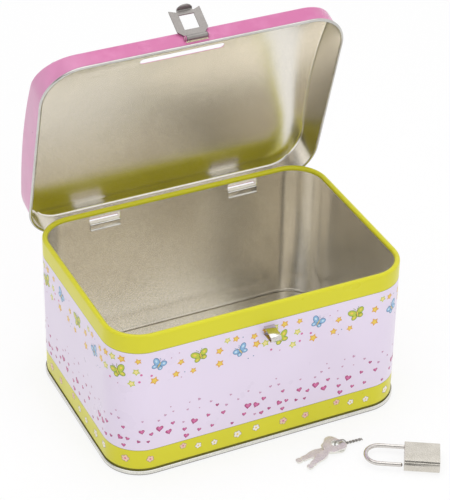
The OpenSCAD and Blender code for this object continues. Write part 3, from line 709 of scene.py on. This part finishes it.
def strip(name, path, widths, thickness, offset=-1):
    """A strip bent along a path in the YZ plane, its widths given point by point."""
    if not isinstance(widths, (list, tuple)):
        widths = [widths] * len(path)
    piece = start_piece(name)
    bpy.ops.transform.translate(value=(-widths[0] / 2, *path[0]))
    pull((widths[0], 0, 0))
    bpy.ops.mesh.select_all(action="SELECT")
    for (y0, z0), (y1, z1), wide, next_wide in zip(path, path[1:], widths, widths[1:]):
        pull((0, y1 - y0, z1 - z0))
        if next_wide != wide:
            bpy.ops.transform.resize(value=(next_wide / wide, 1, 1), center_override=(0, y1, z1))
    end_edit()
    apply_modifier(piece, "SOLIDIFY", thickness=thickness, offset=offset)
    apply_modifier(piece, "BEVEL", width=EDGE_R, segments=2, limit_method="ANGLE",
                   angle_limit=math.radians(50))
    smooth(piece, 50)
    return piece


def join(*pieces):
    """Makes one piece of several, under the name of the first."""
    pick(*pieces)
    bpy.ops.object.join()
    return pieces[0]


def rod(name, at, r, length, verts=32, bevel=0.0):
    """A round bar along the X axis, its middle at a place, its ends rounded by bevel."""
    bpy.ops.object.select_all(action="DESELECT")
    bpy.ops.mesh.primitive_cylinder_add(vertices=verts, radius=r, depth=length,
                                        rotation=(0, math.pi / 2, 0))
    bpy.ops.object.transform_apply(location=False, rotation=True, scale=True)
    piece = bpy.context.active_object
    piece.name = piece.data.name = name
    piece.data.transform(Matrix.Translation(at))
    if bevel:
        apply_modifier(piece, "BEVEL", width=bevel, segments=3, limit_method="ANGLE",
                       angle_limit=math.radians(50))
    smooth(piece, 40)
    return piece


strap_tin = metal("tinplate_strap", light=(0.86, 0.84, 0.79), dark=(0.74, 0.72, 0.68),
                  rough=(0.12, 0.20), grain_mm=0.5, grain_depth=0.0015, cloud_mm=8)
tail_y = BODY_D / 2 - TIN_T - AIR
bend_y, bend_z = tail_y + FOLD_R, HINGE_Z + WRAP_R - FOLD_R
hem_z = bend_z - TAIL_L
strap_path = arc((HINGE_Y, HINGE_Z), WRAP_OUT, -125, 90, 22)
strap_path += arc((bend_y, bend_z), FOLD_R + STRAP_T, 90, 180, 6)
strap_path += [(tail_y - STRAP_T, hem_z + TAIL_HEM)]
for side, name in ((-1, "hinge_strap_left"), (1, "hinge_strap_right")):
    strap = strip("strap_wrap", strap_path, STRAP_W, STRAP_T)
    hem = rod("hem", (0, tail_y - STRAP_T, hem_z), STRAP_T + 2 * AIR, STRAP_W, verts=24,
              bevel=0.12 * MM)
    strap = join(strap, hem)
    strap.data.transform(Matrix.Translation((side * HINGE_X, 0, 0)))
    strap.name = strap.data.name = name + "_strip"
    finish_in(strap, strap_tin)
    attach(strap, "tin")
    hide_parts(name)


# Staple: a strip of bright steel bent into a tapering eye. Both its ends come in
# through slits in the front wall and are clinched flat against the inside.
STAPLE_W, STAPLE_T, STAPLE_TOP, STAPLE_LOW = 5.2 * MM, 0.4 * MM, 67.4 * MM, 63.0 * MM
STAPLE_OUT, NOSE_R, CLINCH, BEND = 8 * MM, 1.5 * MM, 2.6 * MM, 0.5 * MM

bright_nickel = metal("nickel_bright", light=(0.70, 0.67, 0.64), dark=(0.60, 0.57, 0.54),
                      rough=(0.07, 0.15), grain_mm=0.8, grain_depth=0.0015, cloud_mm=7)
wall_back = TIN_T + AIR
nose = (STAPLE_OUT - NOSE_R, STAPLE_LOW + NOSE_R)
drop = STAPLE_TOP - nose[1]
lean = math.degrees(math.asin(NOSE_R / math.hypot(nose[0], drop)) - math.atan2(drop, nose[0]))
eye_path = [(-wall_back, STAPLE_TOP + CLINCH), (-wall_back, STAPLE_TOP + BEND),
            (-wall_back, STAPLE_TOP), (0, STAPLE_TOP)]
eye_path += arc(nose, NOSE_R, 90 + lean, -90, 16)
eye_path += [(-wall_back, STAPLE_LOW), (-wall_back, STAPLE_LOW - BEND),
             (-wall_back, STAPLE_LOW - CLINCH)]
eye = strip("staple_strip", eye_path, STAPLE_W, STAPLE_T, offset=1)
eye.data.transform(Matrix.Translation((0, -BODY_D / 2, 0)) @ Matrix.Scale(-1, 4, (0, 1, 0)))
eye.data.flip_normals()
finish_in(eye, bright_nickel)
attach(eye, "tin")
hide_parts("staple")


# Lid: one pressed sheet with a low barrel top and a deep skirt, printed outside and
# bare inside. The coin slot, the slot for the hasp and the hinge windows are punched
# through it, and two lugs for the pin of the hasp are bent out of its front.
LID_W, LID_D, LID_R, LID_Z = 151.7 * MM, 107.7 * MM, 18.85 * MM, 68.2 * MM
SKIRT_H, ARCH_RISE, LID_ANGLE, BEAD_R = 11.4 * MM, 8.2 * MM, -74, 1.1 * MM
TOP_EDGE_R, ARCH_CUTS, ARCH_STEP = 1.5 * MM, 10, 5 * MM
COIN_L, COIN_W, COIN_IN, COIN_ENDS = 43 * MM, 3.6 * MM, 19 * MM, (6 * MM, 30 * MM)
LUG_IN, LUG_R, LUG_SLOT, HASP_V, HASP_OUT = 5.45 * MM, 1.35 * MM, 1.9 * MM, 5.6 * MM, 1.1 * MM
WINDOW_LOW, WINDOW_OVER = 0.5 * MM, 0.8 * MM
PINK, PINK_PAINTED_LIGHT, PINK_SPOT = (0.65, 0.178, 0.385), (0.70, 0.33, 0.52), (0.80, 0.32, 0.56)
PAINTED_LIGHT_FROM, PAINTED_LIGHT_TO = -82 * MM, -45 * MM
foot = LID_Z + BEAD_R
coin_y = COIN_IN - LID_D / 2
arch_r = ((LID_D / 2) ** 2 + ARCH_RISE ** 2) / (2 * ARCH_RISE)


def arch_z(y):
    """The height of the barrel top at a distance y from its middle line."""
    across = min(abs(y), arch_r)
    return LID_Z + SKIRT_H + ARCH_RISE - arch_r + math.sqrt(arch_r ** 2 - across ** 2)


# The lid is modelled shut, and this turns it on its hinge line to where it rests open.
opened = (Matrix.Translation((0, HINGE_Y, HINGE_Z))
          @ Matrix.Rotation(math.radians(LID_ANGLE), 4, "X")
          @ Matrix.Translation((0, -HINGE_Y, -HINGE_Z)))

lid_ink, tree, shader = printed("lid_print")
sides = shader_node(tree, "SeparateXYZ", {0: object_coords(tree)})
# The left end of the lid turns a lighter pink: painted light on that end.
tint = blend_colour(tree, ranged(tree, sides.outputs["X"], PAINTED_LIGHT_FROM, PAINTED_LIGHT_TO), PINK_PAINTED_LIGHT, PINK)
spots = ranged(tree, cloud(tree, 9, 2.0), 0.45, 0.75, high=0.35)
tree.links.new(blend_colour(tree, spots, tint, PINK_SPOT), shader.inputs["Base Color"])

lid = start_piece("lid_shell_printed")
bpy.ops.mesh.delete(type="VERT")
round_plan(LID_W, LID_D, LID_R, foot)
for i in range(-ARCH_CUTS, ARCH_CUTS + 1):
    bpy.ops.mesh.select_all(action="SELECT")
    bpy.ops.mesh.bisect(plane_co=(0, ARCH_STEP * i, 0), plane_no=(0, 1, 0))
bpy.ops.mesh.select_all(action="SELECT")
pull((0, 0, SKIRT_H - BEAD_R))
mesh = bmesh.from_edit_mesh(lid.data)
flat = [f for f in mesh.faces if all(abs(v.co.z - foot) < 1e-7 for v in f.verts)]
bmesh.ops.delete(mesh, geom=flat, context="FACES_ONLY")
for vert in mesh.verts:
    if vert.co.z > foot + MM:
        vert.co.z = arch_z(vert.co.y)
bmesh.update_edit_mesh(lid.data)
bpy.ops.mesh.select_all(action="SELECT")
bpy.ops.mesh.normals_make_consistent(inside=False)
select_edges(lid, lambda e: len(e.link_faces) == 2 and e.calc_face_angle() > math.radians(50)
             and min(v.co.z for v in e.verts) > foot + MM)
bpy.ops.mesh.bevel(offset=TOP_EDGE_R, segments=5, affect="EDGES")
end_edit()
finish_in(lid, lid_ink, tin_bare)
apply_modifier(lid, "SOLIDIFY", thickness=TIN_T, offset=-1, material_offset=1,
               material_offset_rim=1)
cut_with(lid, block("coin_cutter", (-COIN_L / 2, coin_y - COIN_W / 2, LID_Z + COIN_ENDS[0]),
                    (COIN_L / 2, coin_y + COIN_W / 2, LID_Z + COIN_ENDS[1]),
                    bevel=COIN_W / 2 - 1e-6, segments=10, along=2))
cut_with(lid, block("hasp_cutter", (-LUG_IN - TIN_T, -LID_D / 2 - MM, LID_Z + HASP_V - LUG_SLOT),
                    (LUG_IN + TIN_T, -LID_D / 2 + MM, LID_Z + HASP_V + LUG_SLOT),
                    bevel=0.3 * MM, segments=3, along=1))
for side in (-1, 1):
    x = side * HINGE_X
    cut_with(lid, block("window_cutter", (x - SLOT_HALF, LID_D / 2 - MM, foot - WINDOW_LOW),
                        (x + SLOT_HALF, LID_D / 2 + MM, foot + WRAP_OUT + WINDOW_OVER)))


def drawn(name, lines, closed, **settings):
    """A mesh made from a curve through lines of points."""
    curve = bpy.data.curves.new(name, "CURVE")
    for key, value in settings.items():
        setattr(curve, key, value)
    for line in lines:
        spline = curve.splines.new("POLY")
        spline.points.add(len(line) - 1)
        for point, place in zip(spline.points, line):
            point.co = (*Vector(place).to_3d(), 1)
        spline.use_cyclic_u = closed
    piece = bpy.data.objects.new(name, curve)
    bpy.context.scene.collection.objects.link(piece)
    pick(piece)
    bpy.ops.object.convert(target="MESH")
    return piece


def plate(name, loops, thick, bevel):
    """A flat plate with rounded edges, from its outline and its holes in the XY plane."""
    piece = drawn(name, loops, closed=True, dimensions="2D", fill_mode="BOTH", offset=-bevel,
                  extrude=thick / 2 - bevel, bevel_depth=bevel, bevel_resolution=1)
    bpy.ops.object.mode_set(mode="EDIT")
    end_edit()
    piece.data.transform(Matrix.Translation((0, 0, thick / 2)))
    smooth(piece, 20)
    return piece


lug_plan = [(0, -LUG_R), (HASP_OUT, -LUG_R)] + arc((HASP_OUT, 0), LUG_R, -80, 80, 10)
lug_plan += [(HASP_OUT, LUG_R), (0, LUG_R)]
stand_lug = Matrix(((0, 0, 1, 0), (-1, 0, 0, -LID_D / 2), (0, 1, 0, LID_Z + HASP_V),
                    (0, 0, 0, 1)))
lugs = []
for x in (-LUG_IN - TIN_T, LUG_IN):
    lug = plate("lug", [lug_plan], TIN_T, bevel=0.05 * MM)
    lug.data.transform(Matrix.Translation((x, 0, 0)) @ stand_lug)
    finish_in(lug, lid_ink)
    lugs.append(lug)
lid = join(lid, *lugs)
lid.data.transform(opened)
smooth(lid, 30)
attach(lid, "lid")
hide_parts("lid_shell")


# The print on the lid: the same small motifs strewn over the barrel top, clear of the
# coin slot, drawn flat and laid on the curve with one thin film for each ink block.
STREWN_HALF, STREWN_TO, COIN_CLEAR = 70, 61, (27, 7)
flyers = [(-50, 24, 20, 1, 1), (-31, -8, -25, -1, 0), (-47, -30, 35, 1, 1), (-12, 26, -15, 1, 0),
          (4, -4, 25, -1, 1), (24, 22, 30, 1, 0), (37, -9, -20, 1, 1), (54, 27, 10, -1, 0),
          (52, -31, 30, 1, 1)]
lid_motifs = start_film("print_lid")
for x, y, turn, mirror, green in flyers:
    dark, light, spot = (MOSS, LEAF, GOLD) if green else (SLATE, SKY, MIST)
    ink_butterfly(lid_motifs, (x, y), 1.7 if green else 1.5, turn, mirror, dark, light, spot)
taken = [(x + STREWN_HALF, y, 6.5) for x, y, _, _, _ in flyers]
strewn = scatter(rng, count=60, low=-39, high=39, apart=8.2, taken=taken, across=2 * STREWN_HALF)
strewn = [(x - STREWN_HALF, y) for x, y in strewn if abs(x - STREWN_HALF) < STREWN_TO]
strewn = [(x, y) for x, y in strewn
          if abs(x) > COIN_CLEAR[0] or abs(y - coin_y / MM) > COIN_CLEAR[1]]
for i, (x, y) in enumerate(strewn):
    if i % 3:
        size, turn = rng.uniform(1.7, 2.3), rng.uniform(0, 72)
        ink_star(lid_motifs, (x, y), size, turn, *((ORANGE, GOLD), (LEAF, CREAM))[i % 2])
    else:
        shape = heart(rng.uniform(2.2, 3.2))
        ink(lid_motifs, shape, LAVENDER, 0, (x, y), 1.0, rng.uniform(-30, 30))
bpy.ops.mesh.select_all(action="SELECT")
bpy.ops.mesh.quads_convert_to_tris()
bpy.ops.object.mode_set(mode="OBJECT")
for vert in lid_motifs.data.vertices:
    vert.co.z = arch_z(vert.co.y) + INK_GAP + vert.co.z
apply_modifier(lid_motifs, "SOLIDIFY", thickness=INK_STEP, offset=-1)
lid_motifs.data.transform(opened)
finish_in(lid_motifs, motif_ink)
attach(lid_motifs, "lid")


# Bead: the lower edge of the lid curled outwards into a wire-like roll. It is bare
# tinplate, it stiffens the edge, and it turns in the hinge straps.
CURL_R = 0.75 * MM

bright_tin = metal("tinplate_bright", light=(0.64, 0.63, 0.60), dark=(0.52, 0.51, 0.485),
                   rough=(0.14, 0.24), grain_mm=0.5, grain_depth=0.0012, cloud_mm=12)
bead = start_piece("lid_edge_bead")
bpy.ops.mesh.delete(type="VERT")
bpy.ops.mesh.primitive_circle_add(vertices=24, radius=CURL_R, rotation=(math.pi / 2, 0, 0),
                                  location=(LID_W / 2 - TIN_T + CURL_R, 0, foot))
run_round(LID_W, LID_D, LID_R)
end_edit(threshold=1e-5)
finish_in(bead, bright_tin)
bead.data.transform(opened)
smooth(bead, 60)
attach(bead, "lid")


# Hasp: a stamped steel plate with a window, two ears and a finger tab, its end rolled
# into a knuckle that turns on a wire pin between the lugs of the lid.
HASP_T, KNUCKLE_R, KNUCKLE_L, PIN_R, HASP_ANGLE = 0.7 * MM, 1.35 * MM, 10.4 * MM, 0.6 * MM, -166
TAB_Y, TAB_BEND, TAB_BEND_R, TAB_START = -15.1 * MM, 76, 0.4 * MM, 0.3 * MM
TAB_L, TAB_END_R, TAB_W = 2.7 * MM, 4.5 * MM, 7.8 * MM
HEAD_OVER, HEAD_T, PIN_AIR = 0.3 * MM, 0.4 * MM, 0.05 * MM

dull_steel = metal("steel_dull", light=(0.34, 0.32, 0.305), dark=(0.28, 0.262, 0.25),
                   rough=(0.34, 0.46), grain_mm=0.5, grain_depth=0.006, cloud_mm=6)
half_plan = [(5.2, 0), (5.2, -1.7), (7.8, -4.4), (7.8, -16), (4.6, -14.8), (3.9, -14.8),
             (3.9, -15.1)]
hasp_plan = in_mm(half_plan + [(-x, y) for x, y in reversed(half_plan)])
window = in_mm([(-3.8, -4.9), (-3.8, -12.9), (3.8, -12.9), (3.8, -4.9)])
blade = plate("hasp_plate_stamped", [hasp_plan, window], HASP_T, bevel=EDGE_R)
blade.data.transform(Matrix.Translation((0, -KNUCKLE_R + HASP_T, 0))
                     @ Matrix.Rotation(math.pi / 2, 4, "X"))
knuckle = rod("knuckle", (0, 0, 0), KNUCKLE_R, KNUCKLE_L, verts=40)
cut_with(knuckle, rod("bore", (0, 0, 0), PIN_R + PIN_AIR, 2 * KNUCKLE_L, verts=24))
bend_at = (-KNUCKLE_R + HASP_T + TAB_BEND_R, TAB_Y)
tab_path = [(bend_at[0] - TAB_BEND_R - HASP_T, bend_at[1] + TAB_START)]
tab_path += arc(bend_at, TAB_BEND_R + HASP_T, 180, 180 + TAB_BEND, 8)
away = (math.sin(math.radians(TAB_BEND)), -math.cos(math.radians(TAB_BEND)))
last = tab_path[-1]
tab_widths = [TAB_W] * len(tab_path)
for left in (2.0, 1.4, 0.9, 0.5, 0.22, 0.02):
    along = TAB_L - left * MM
    tab_path.append((last[0] + along * away[0], last[1] + along * away[1]))
    chord = 2 * math.sqrt(TAB_END_R ** 2 - (TAB_END_R - left * MM) ** 2)
    tab_widths.append(min(TAB_W, chord))
tab = strip("tab", tab_path, tab_widths, HASP_T)
for piece in (blade, knuckle, tab):
    finish_in(piece, dull_steel)
blade = join(blade, knuckle, tab)
hang = opened @ Matrix.Translation((0, -LID_D / 2 - HASP_OUT, LID_Z + HASP_V))
blade.data.transform(hang @ Matrix.Rotation(math.radians(HASP_ANGLE), 4, "X"))
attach(blade, "hasp_plate")
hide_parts("hasp")

over = LUG_IN + TIN_T + AIR
pin = rod("hasp_pin_wire", (0, 0, 0), PIN_R, 2 * over, verts=24)
heads = [rod("head", (side * (over + HEAD_T / 2), 0, 0), PIN_R + HEAD_OVER, HEAD_T, verts=24,
             bevel=0.14 * MM) for side in (-1, 1)]
pin = join(pin, *heads)
finish_in(pin, bright_nickel)
pin.data.transform(hang)
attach(pin, "lid")
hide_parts("hasp_pin")


# Padlock case: a cast block with a stepped chamfer along its edges, thinly nickel-plated
# and tumbled. It is bored at one end for the legs of the shackle and at the other for
# the plug, where a recess takes the end plate.
LOCK_AT, LOCK_TURN = (59.8 * MM, -97.4 * MM, 3.2 * MM), -29.9
CASE = (16.6 * MM, 17.3 * MM, 6.4 * MM)
CHAMFER = ((0, 1.75), (0.85, 0.80), (1.12, 0.70), (1.75, 0))  # inwards from a corner, in mm
LEG_R, PITCH, HEEL_BORE, TOE_BORE, LEG_AIR = 1.05 * MM, 13.2 * MM, 6.9 * MM, -2.5 * MM, 0.06 * MM
SEAT_DEEP, SEAT_IN, SEAT_CUT = 0.9 * MM, 0.6 * MM, 1.15 * MM
PLUG_X, PLUG_BORE_R, PLUG_BORE_L = 5.6 * MM, 2.56 * MM, 10 * MM
POCKET = (-7.8 * MM, -6.14 * MM, -1.3 * MM), (0.7 * MM, 1.5 * MM, 1.3 * MM)
laid = Matrix.Translation(LOCK_AT) @ Matrix.Rotation(math.radians(LOCK_TURN), 4, "Z")
half = Vector(CASE) / 2

nickel = metal("nickel_tumbled", light=(0.70, 0.665, 0.60), dark=(0.62, 0.585, 0.52),
               rough=(0.22, 0.34), grain_mm=0.45, grain_depth=0.008, cloud_mm=5)
section = [(half.y - u * MM, half.z - v * MM) for u, v in CHAMFER]
section += [(-y, z) for y, z in reversed(section)]
section += [(-y, -z) for y, z in section]
case = start_piece("padlock_block")
draw_line([(-half.x, y, z) for y, z in section])
bpy.ops.mesh.edge_face_add()
pull((2 * half.x, 0, 0))
end_edit()
apply_modifier(case, "BEVEL", width=0.14 * MM, segments=2, limit_method="ANGLE",
               angle_limit=math.radians(30))
cut_with(case, block("recess", (half.x - SEAT_DEEP, -half.y + SEAT_IN, -half.z + SEAT_IN),
                     (half.x + MM, half.y - SEAT_IN, half.z - SEAT_IN),
                     bevel=SEAT_CUT, segments=1, along=0))
near = -half.x - MM
for y, far in ((PITCH / 2, HEEL_BORE), (-PITCH / 2, TOE_BORE)):
    cut_with(case, rod("leg_bore", ((near + far) / 2, y, 0), LEG_R + LEG_AIR, far - near))
cut_with(case, rod("plug_bore", (PLUG_X, 0, 0), PLUG_BORE_R, PLUG_BORE_L, verts=40))
cut_with(case, block("latch_pocket", *POCKET))
smooth(case, 20)
finish_in(case, nickel)
case.data.transform(laid)
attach(case, "padlock")
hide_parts("padlock_case")


# Shackle: a bent steel wire, bright nickel-plated, standing open. A head behind the neck
# of the long leg keeps it in the case, and the short leg has a notch for the latch.
BOW_X, TOE_X, TIP_L, TIP_IN = -19.75 * MM, -9.1 * MM, 0.6 * MM, 0.5 * MM
HEAD_X, HEAD_L, NECK_L, NECK_R = -1.35 * MM, 1.4 * MM, 6.3 * MM, 0.65 * MM
NOTCH_FROM, NOTCH_TO, NOTCH_DEEP = -12.4 * MM, -10.6 * MM, 0.65 * MM


def resize_end(k, x, y):
    """Swells or narrows the selected end of the wire."""
    bpy.ops.transform.resize(value=(1, k, k), center_override=(x, y, 0))


bow = start_piece("shackle_wire")
bpy.ops.mesh.delete(type="VERT")
bpy.ops.mesh.primitive_circle_add(vertices=24, radius=LEG_R, rotation=(0, math.pi / 2, 0),
                                  location=(HEAD_X + HEAD_L, PITCH / 2, 0), fill_type="NGON")
pull((-HEAD_L, 0, 0))
pull((0, 0, 0))
resize_end(NECK_R / LEG_R, HEAD_X, PITCH / 2)
pull((-NECK_L, 0, 0))
pull((0, 0, 0))
resize_end(LEG_R / NECK_R, HEAD_X - NECK_L, PITCH / 2)
pull((BOW_X - HEAD_X + NECK_L, 0, 0))
bpy.ops.mesh.spin(steps=40, angle=-math.pi, center=(BOW_X, 0, 0), axis=(0, 0, 1))
pull((TOE_X - TIP_L - BOW_X, 0, 0))
pull((TIP_L, 0, 0))
resize_end((LEG_R - TIP_IN) / LEG_R, TOE_X, -PITCH / 2)
end_edit()
cut_with(bow, block("notch", (NOTCH_FROM, -PITCH / 2 + LEG_R - NOTCH_DEEP, -2 * MM),
                    (NOTCH_TO, -PITCH / 2 + LEG_R + MM, 2 * MM)))
smooth(bow, 35)
finish_in(bow, bright_nickel)
bow.data.transform(laid)
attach(bow, "shackle_bow")
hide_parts("shackle")


# Lock springs: the coil between the heel of the shackle and the end of its bore lifts the
# shackle, and the bent leaf holds the toe until the cam of the plug pushes it off. Both
# are spring steel and give way when the shackle slides in or the plug turns.
SPRING_R, COIL_R, SPRING_FROM, SPRING_TO = 0.125 * MM, 0.905 * MM, 0.195 * MM, 6.755 * MM
SPRING_TURNS, COIL_POINTS, SPRING_LEFT = 6, 16, 0.235
LEAF_H, LEAF_BACK, LEAF_LEFT = 2.2 * MM, 10 * MM, 0.95


def bent_wire(name, line, r):
    """A round wire with closed ends along a line of points."""
    return drawn(name, [line], closed=False, dimensions="3D", bevel_depth=r, bevel_resolution=3,
                 use_fill_caps=True)


coil = []
for i in range(COIL_POINTS * SPRING_TURNS + 1):
    a = math.radians(360 / COIL_POINTS * i)
    x = SPRING_FROM + (SPRING_TO - SPRING_FROM) * i / (COIL_POINTS * SPRING_TURNS)
    coil.append((x, PITCH / 2 + COIL_R * math.cos(a), COIL_R * math.sin(a)))
lift_spring = bent_wire("lift_spring_wire", coil, SPRING_R)
smooth(lift_spring, 50)
leaf_side = [(-7.6, -4.59), (-7.0, -4.59), (-6.3, -5.89), (-5.6, -4.59), (-1.4, -4.59),
             (-1.4, 0.6), (-0.2, 0.6), (-0.2, 0.9), (-1.7, 0.9), (-1.7, -4.29), (-5.8, -4.29),
             (-6.3, -5.59), (-6.8, -4.29), (-7.3, -4.29), (-7.3, 0), (-7.6, 0)]
leaf = plate("latch_leaf", [in_mm(leaf_side)], LEAF_H, bevel=0.03 * MM)
leaf.data.transform(Matrix.Translation((0, 0, -LEAF_H / 2)))
for piece, node in ((lift_spring, "shackle_spring"), (leaf, "latch_spring")):
    finish_in(piece, dull_steel)
    piece.data.transform(laid)
    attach(piece, "padlock")
    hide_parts(node)
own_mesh(lift_spring)
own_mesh(leaf)


# End plate, plug and heel pin: the plate is stamped, the plug and the pin are turned.
# They keep the shapes of their solids and take the finishes of the pieces round them.
for name, mat in (("padlock_end_plate", nickel), ("lock_plug", bright_nickel),
                  ("heel_pin", dull_steel)):
    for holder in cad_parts[name].material_slots:
        holder.material = mat


# Keys: two flat stamped keys, nickel-plated, with a rounded bow, a broad shank and a
# stepped tip, held together by a soft iron wire through their holes.
KEYS_AT, KEY_T, KEY_L, TIP_W, HOLE_R = (27.8 * MM, -71 * MM), 0.9, 21.8, 3.2, 1.9
LOWER_TURN, UPPER_TURN, LOWER_LIFT, UPPER_LIFT = 187, 208, 0.8, 1.76
BOW_BIG, BOW_SMALL = ((-0.4, 3.0), 3.0), ((4.0, 1.8), 2.2)  # each a centre and a radius
TIP_NOTCH, TIP_STEP, TIP_R, KEY_CLEAR = (3.5, 2.5), 0.45, 1.3, 0.04


def ease(x0, y0, x1, y1):
    """Points on a soft step from one place to another."""
    return [(x0 + (x1 - x0) * i / 6, y0 + (y1 - y0) * (1 - math.cos(math.pi * i / 6)) / 2)
            for i in range(7)]


# Half of the key's outline in millimetres, from the back of the bow to the tip. The bow
# is two round lobes and the line that touches both.
(big, big_r), (small, small_r) = BOW_BIG, BOW_SMALL
gap = (small[0] - big[0], small[1] - big[1])
fall = math.degrees(math.acos((big_r - small_r) / math.hypot(*gap)) + math.atan2(gap[1], gap[0]))
key_edge = arc(big, big_r, 180, fall, 8) + arc(small, small_r, fall, 10, 6)
key_edge += ease(6.5, 1.7, 10.4, 2.45) + ease(12.0, 2.45, 16.2, TIP_W / 2)
notch_from, notch_to = [KEY_L - x for x in TIP_NOTCH]
key_edge += [(notch_from, TIP_W / 2), (notch_from, TIP_W / 2 - TIP_STEP),
             (notch_to, TIP_W / 2 - TIP_STEP), (notch_to, TIP_W / 2)]
key_edge += arc((KEY_L - TIP_R, TIP_W / 2 - TIP_R), TIP_R, 90, 0, 4)
key_loop = in_mm(key_edge + [(x, -y) for x, y in reversed(key_edge)])
hole_loop = in_mm(arc((0, 0), HOLE_R, 0, 348.75, 31))
key_nickel = metal("nickel_key", light=(0.85, 0.845, 0.785), dark=(0.75, 0.745, 0.69),
                   rough=(0.30, 0.42), grain_mm=0.5, grain_depth=0.004, cloud_mm=5)
key_tilt = math.asin((LOWER_LIFT - KEY_CLEAR) / KEY_L)
for name, body_name, swing, lift in (("key_lower", "lower_key", 0, LOWER_LIFT),
                                     ("key_upper", "upper_key", UPPER_TURN - LOWER_TURN,
                                      UPPER_LIFT)):
    key = plate(name + "_stamped", [key_loop, hole_loop], KEY_T * MM, bevel=0.13 * MM)
    lie = (Matrix.Translation((*KEYS_AT, lift * MM))
           @ Matrix.Rotation(math.radians(LOWER_TURN), 4, "Z")
           @ Matrix.Rotation(key_tilt, 4, "Y") @ Matrix.Rotation(math.radians(swing), 4, "Z"))
    key.data.transform(lie)
    finish_in(key, key_nickel)
    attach(key, body_name)
    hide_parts(name)


# Wire tie: one length of soft iron wire looped through both keys, its two ends
# twisted together so that they point away from the bows.
TIE_R, TIE_REACH, TIE_TAIL, TIE_PITCH, TIE_TURN, TIE_POINTS = 0.35, 5.3, 9.0, 3.2, -2, 60
TIE_OVER, TIE_UNDER, TWIST_GAP = 0.75, 0.03, 0.04
top, low = UPPER_LIFT + KEY_T + TIE_OVER, TIE_R + TIE_UNDER
twist_r = TIE_R + TWIST_GAP
mid = twist_r + low


def strand(i, start):
    """A point of one twisted end, in millimetres, from its start angle in degrees."""
    a = math.radians(start + 360 * TIE_TAIL / TIE_PITCH * i / TIE_POINTS)
    return (TIE_REACH + TIE_TAIL * i / TIE_POINTS, twist_r * math.cos(a),
            mid + twist_r * math.sin(a))


loop = [(TIE_REACH + 0.2, mid + 1), (TIE_REACH - 0.2, top - 0.8), (TIE_REACH - 1.1, top),
        (2.6, top + 0.25), (0.9, top + 0.15), (0.1, top - 0.5), (0, top - 1.6),
        (0, low + 0.8), (0.4, low + 0.2), (1.3, low), (3, low)]
wire_line = [strand(i, 90) for i in range(TIE_POINTS, -1, -1)] + [(x, 0, z) for x, z in loop]
wire_line += [strand(i, 270) for i in range(TIE_POINTS + 1)]
tie = bent_wire("key_tie_wire", in_mm(wire_line), TIE_R * MM)
tie.data.transform(Matrix.Translation((*KEYS_AT, 0))
                   @ Matrix.Rotation(math.radians(TIE_TURN), 4, "Z"))
smooth(tie, 50)
wire_iron = metal("wire_iron", light=(0.46, 0.44, 0.42), dark=(0.33, 0.315, 0.30),
                  rough=(0.28, 0.42), grain_mm=0.4, grain_depth=0.004, cloud_mm=3)
finish_in(tie, wire_iron)
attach(tie, "key_ring")
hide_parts("key_tie")
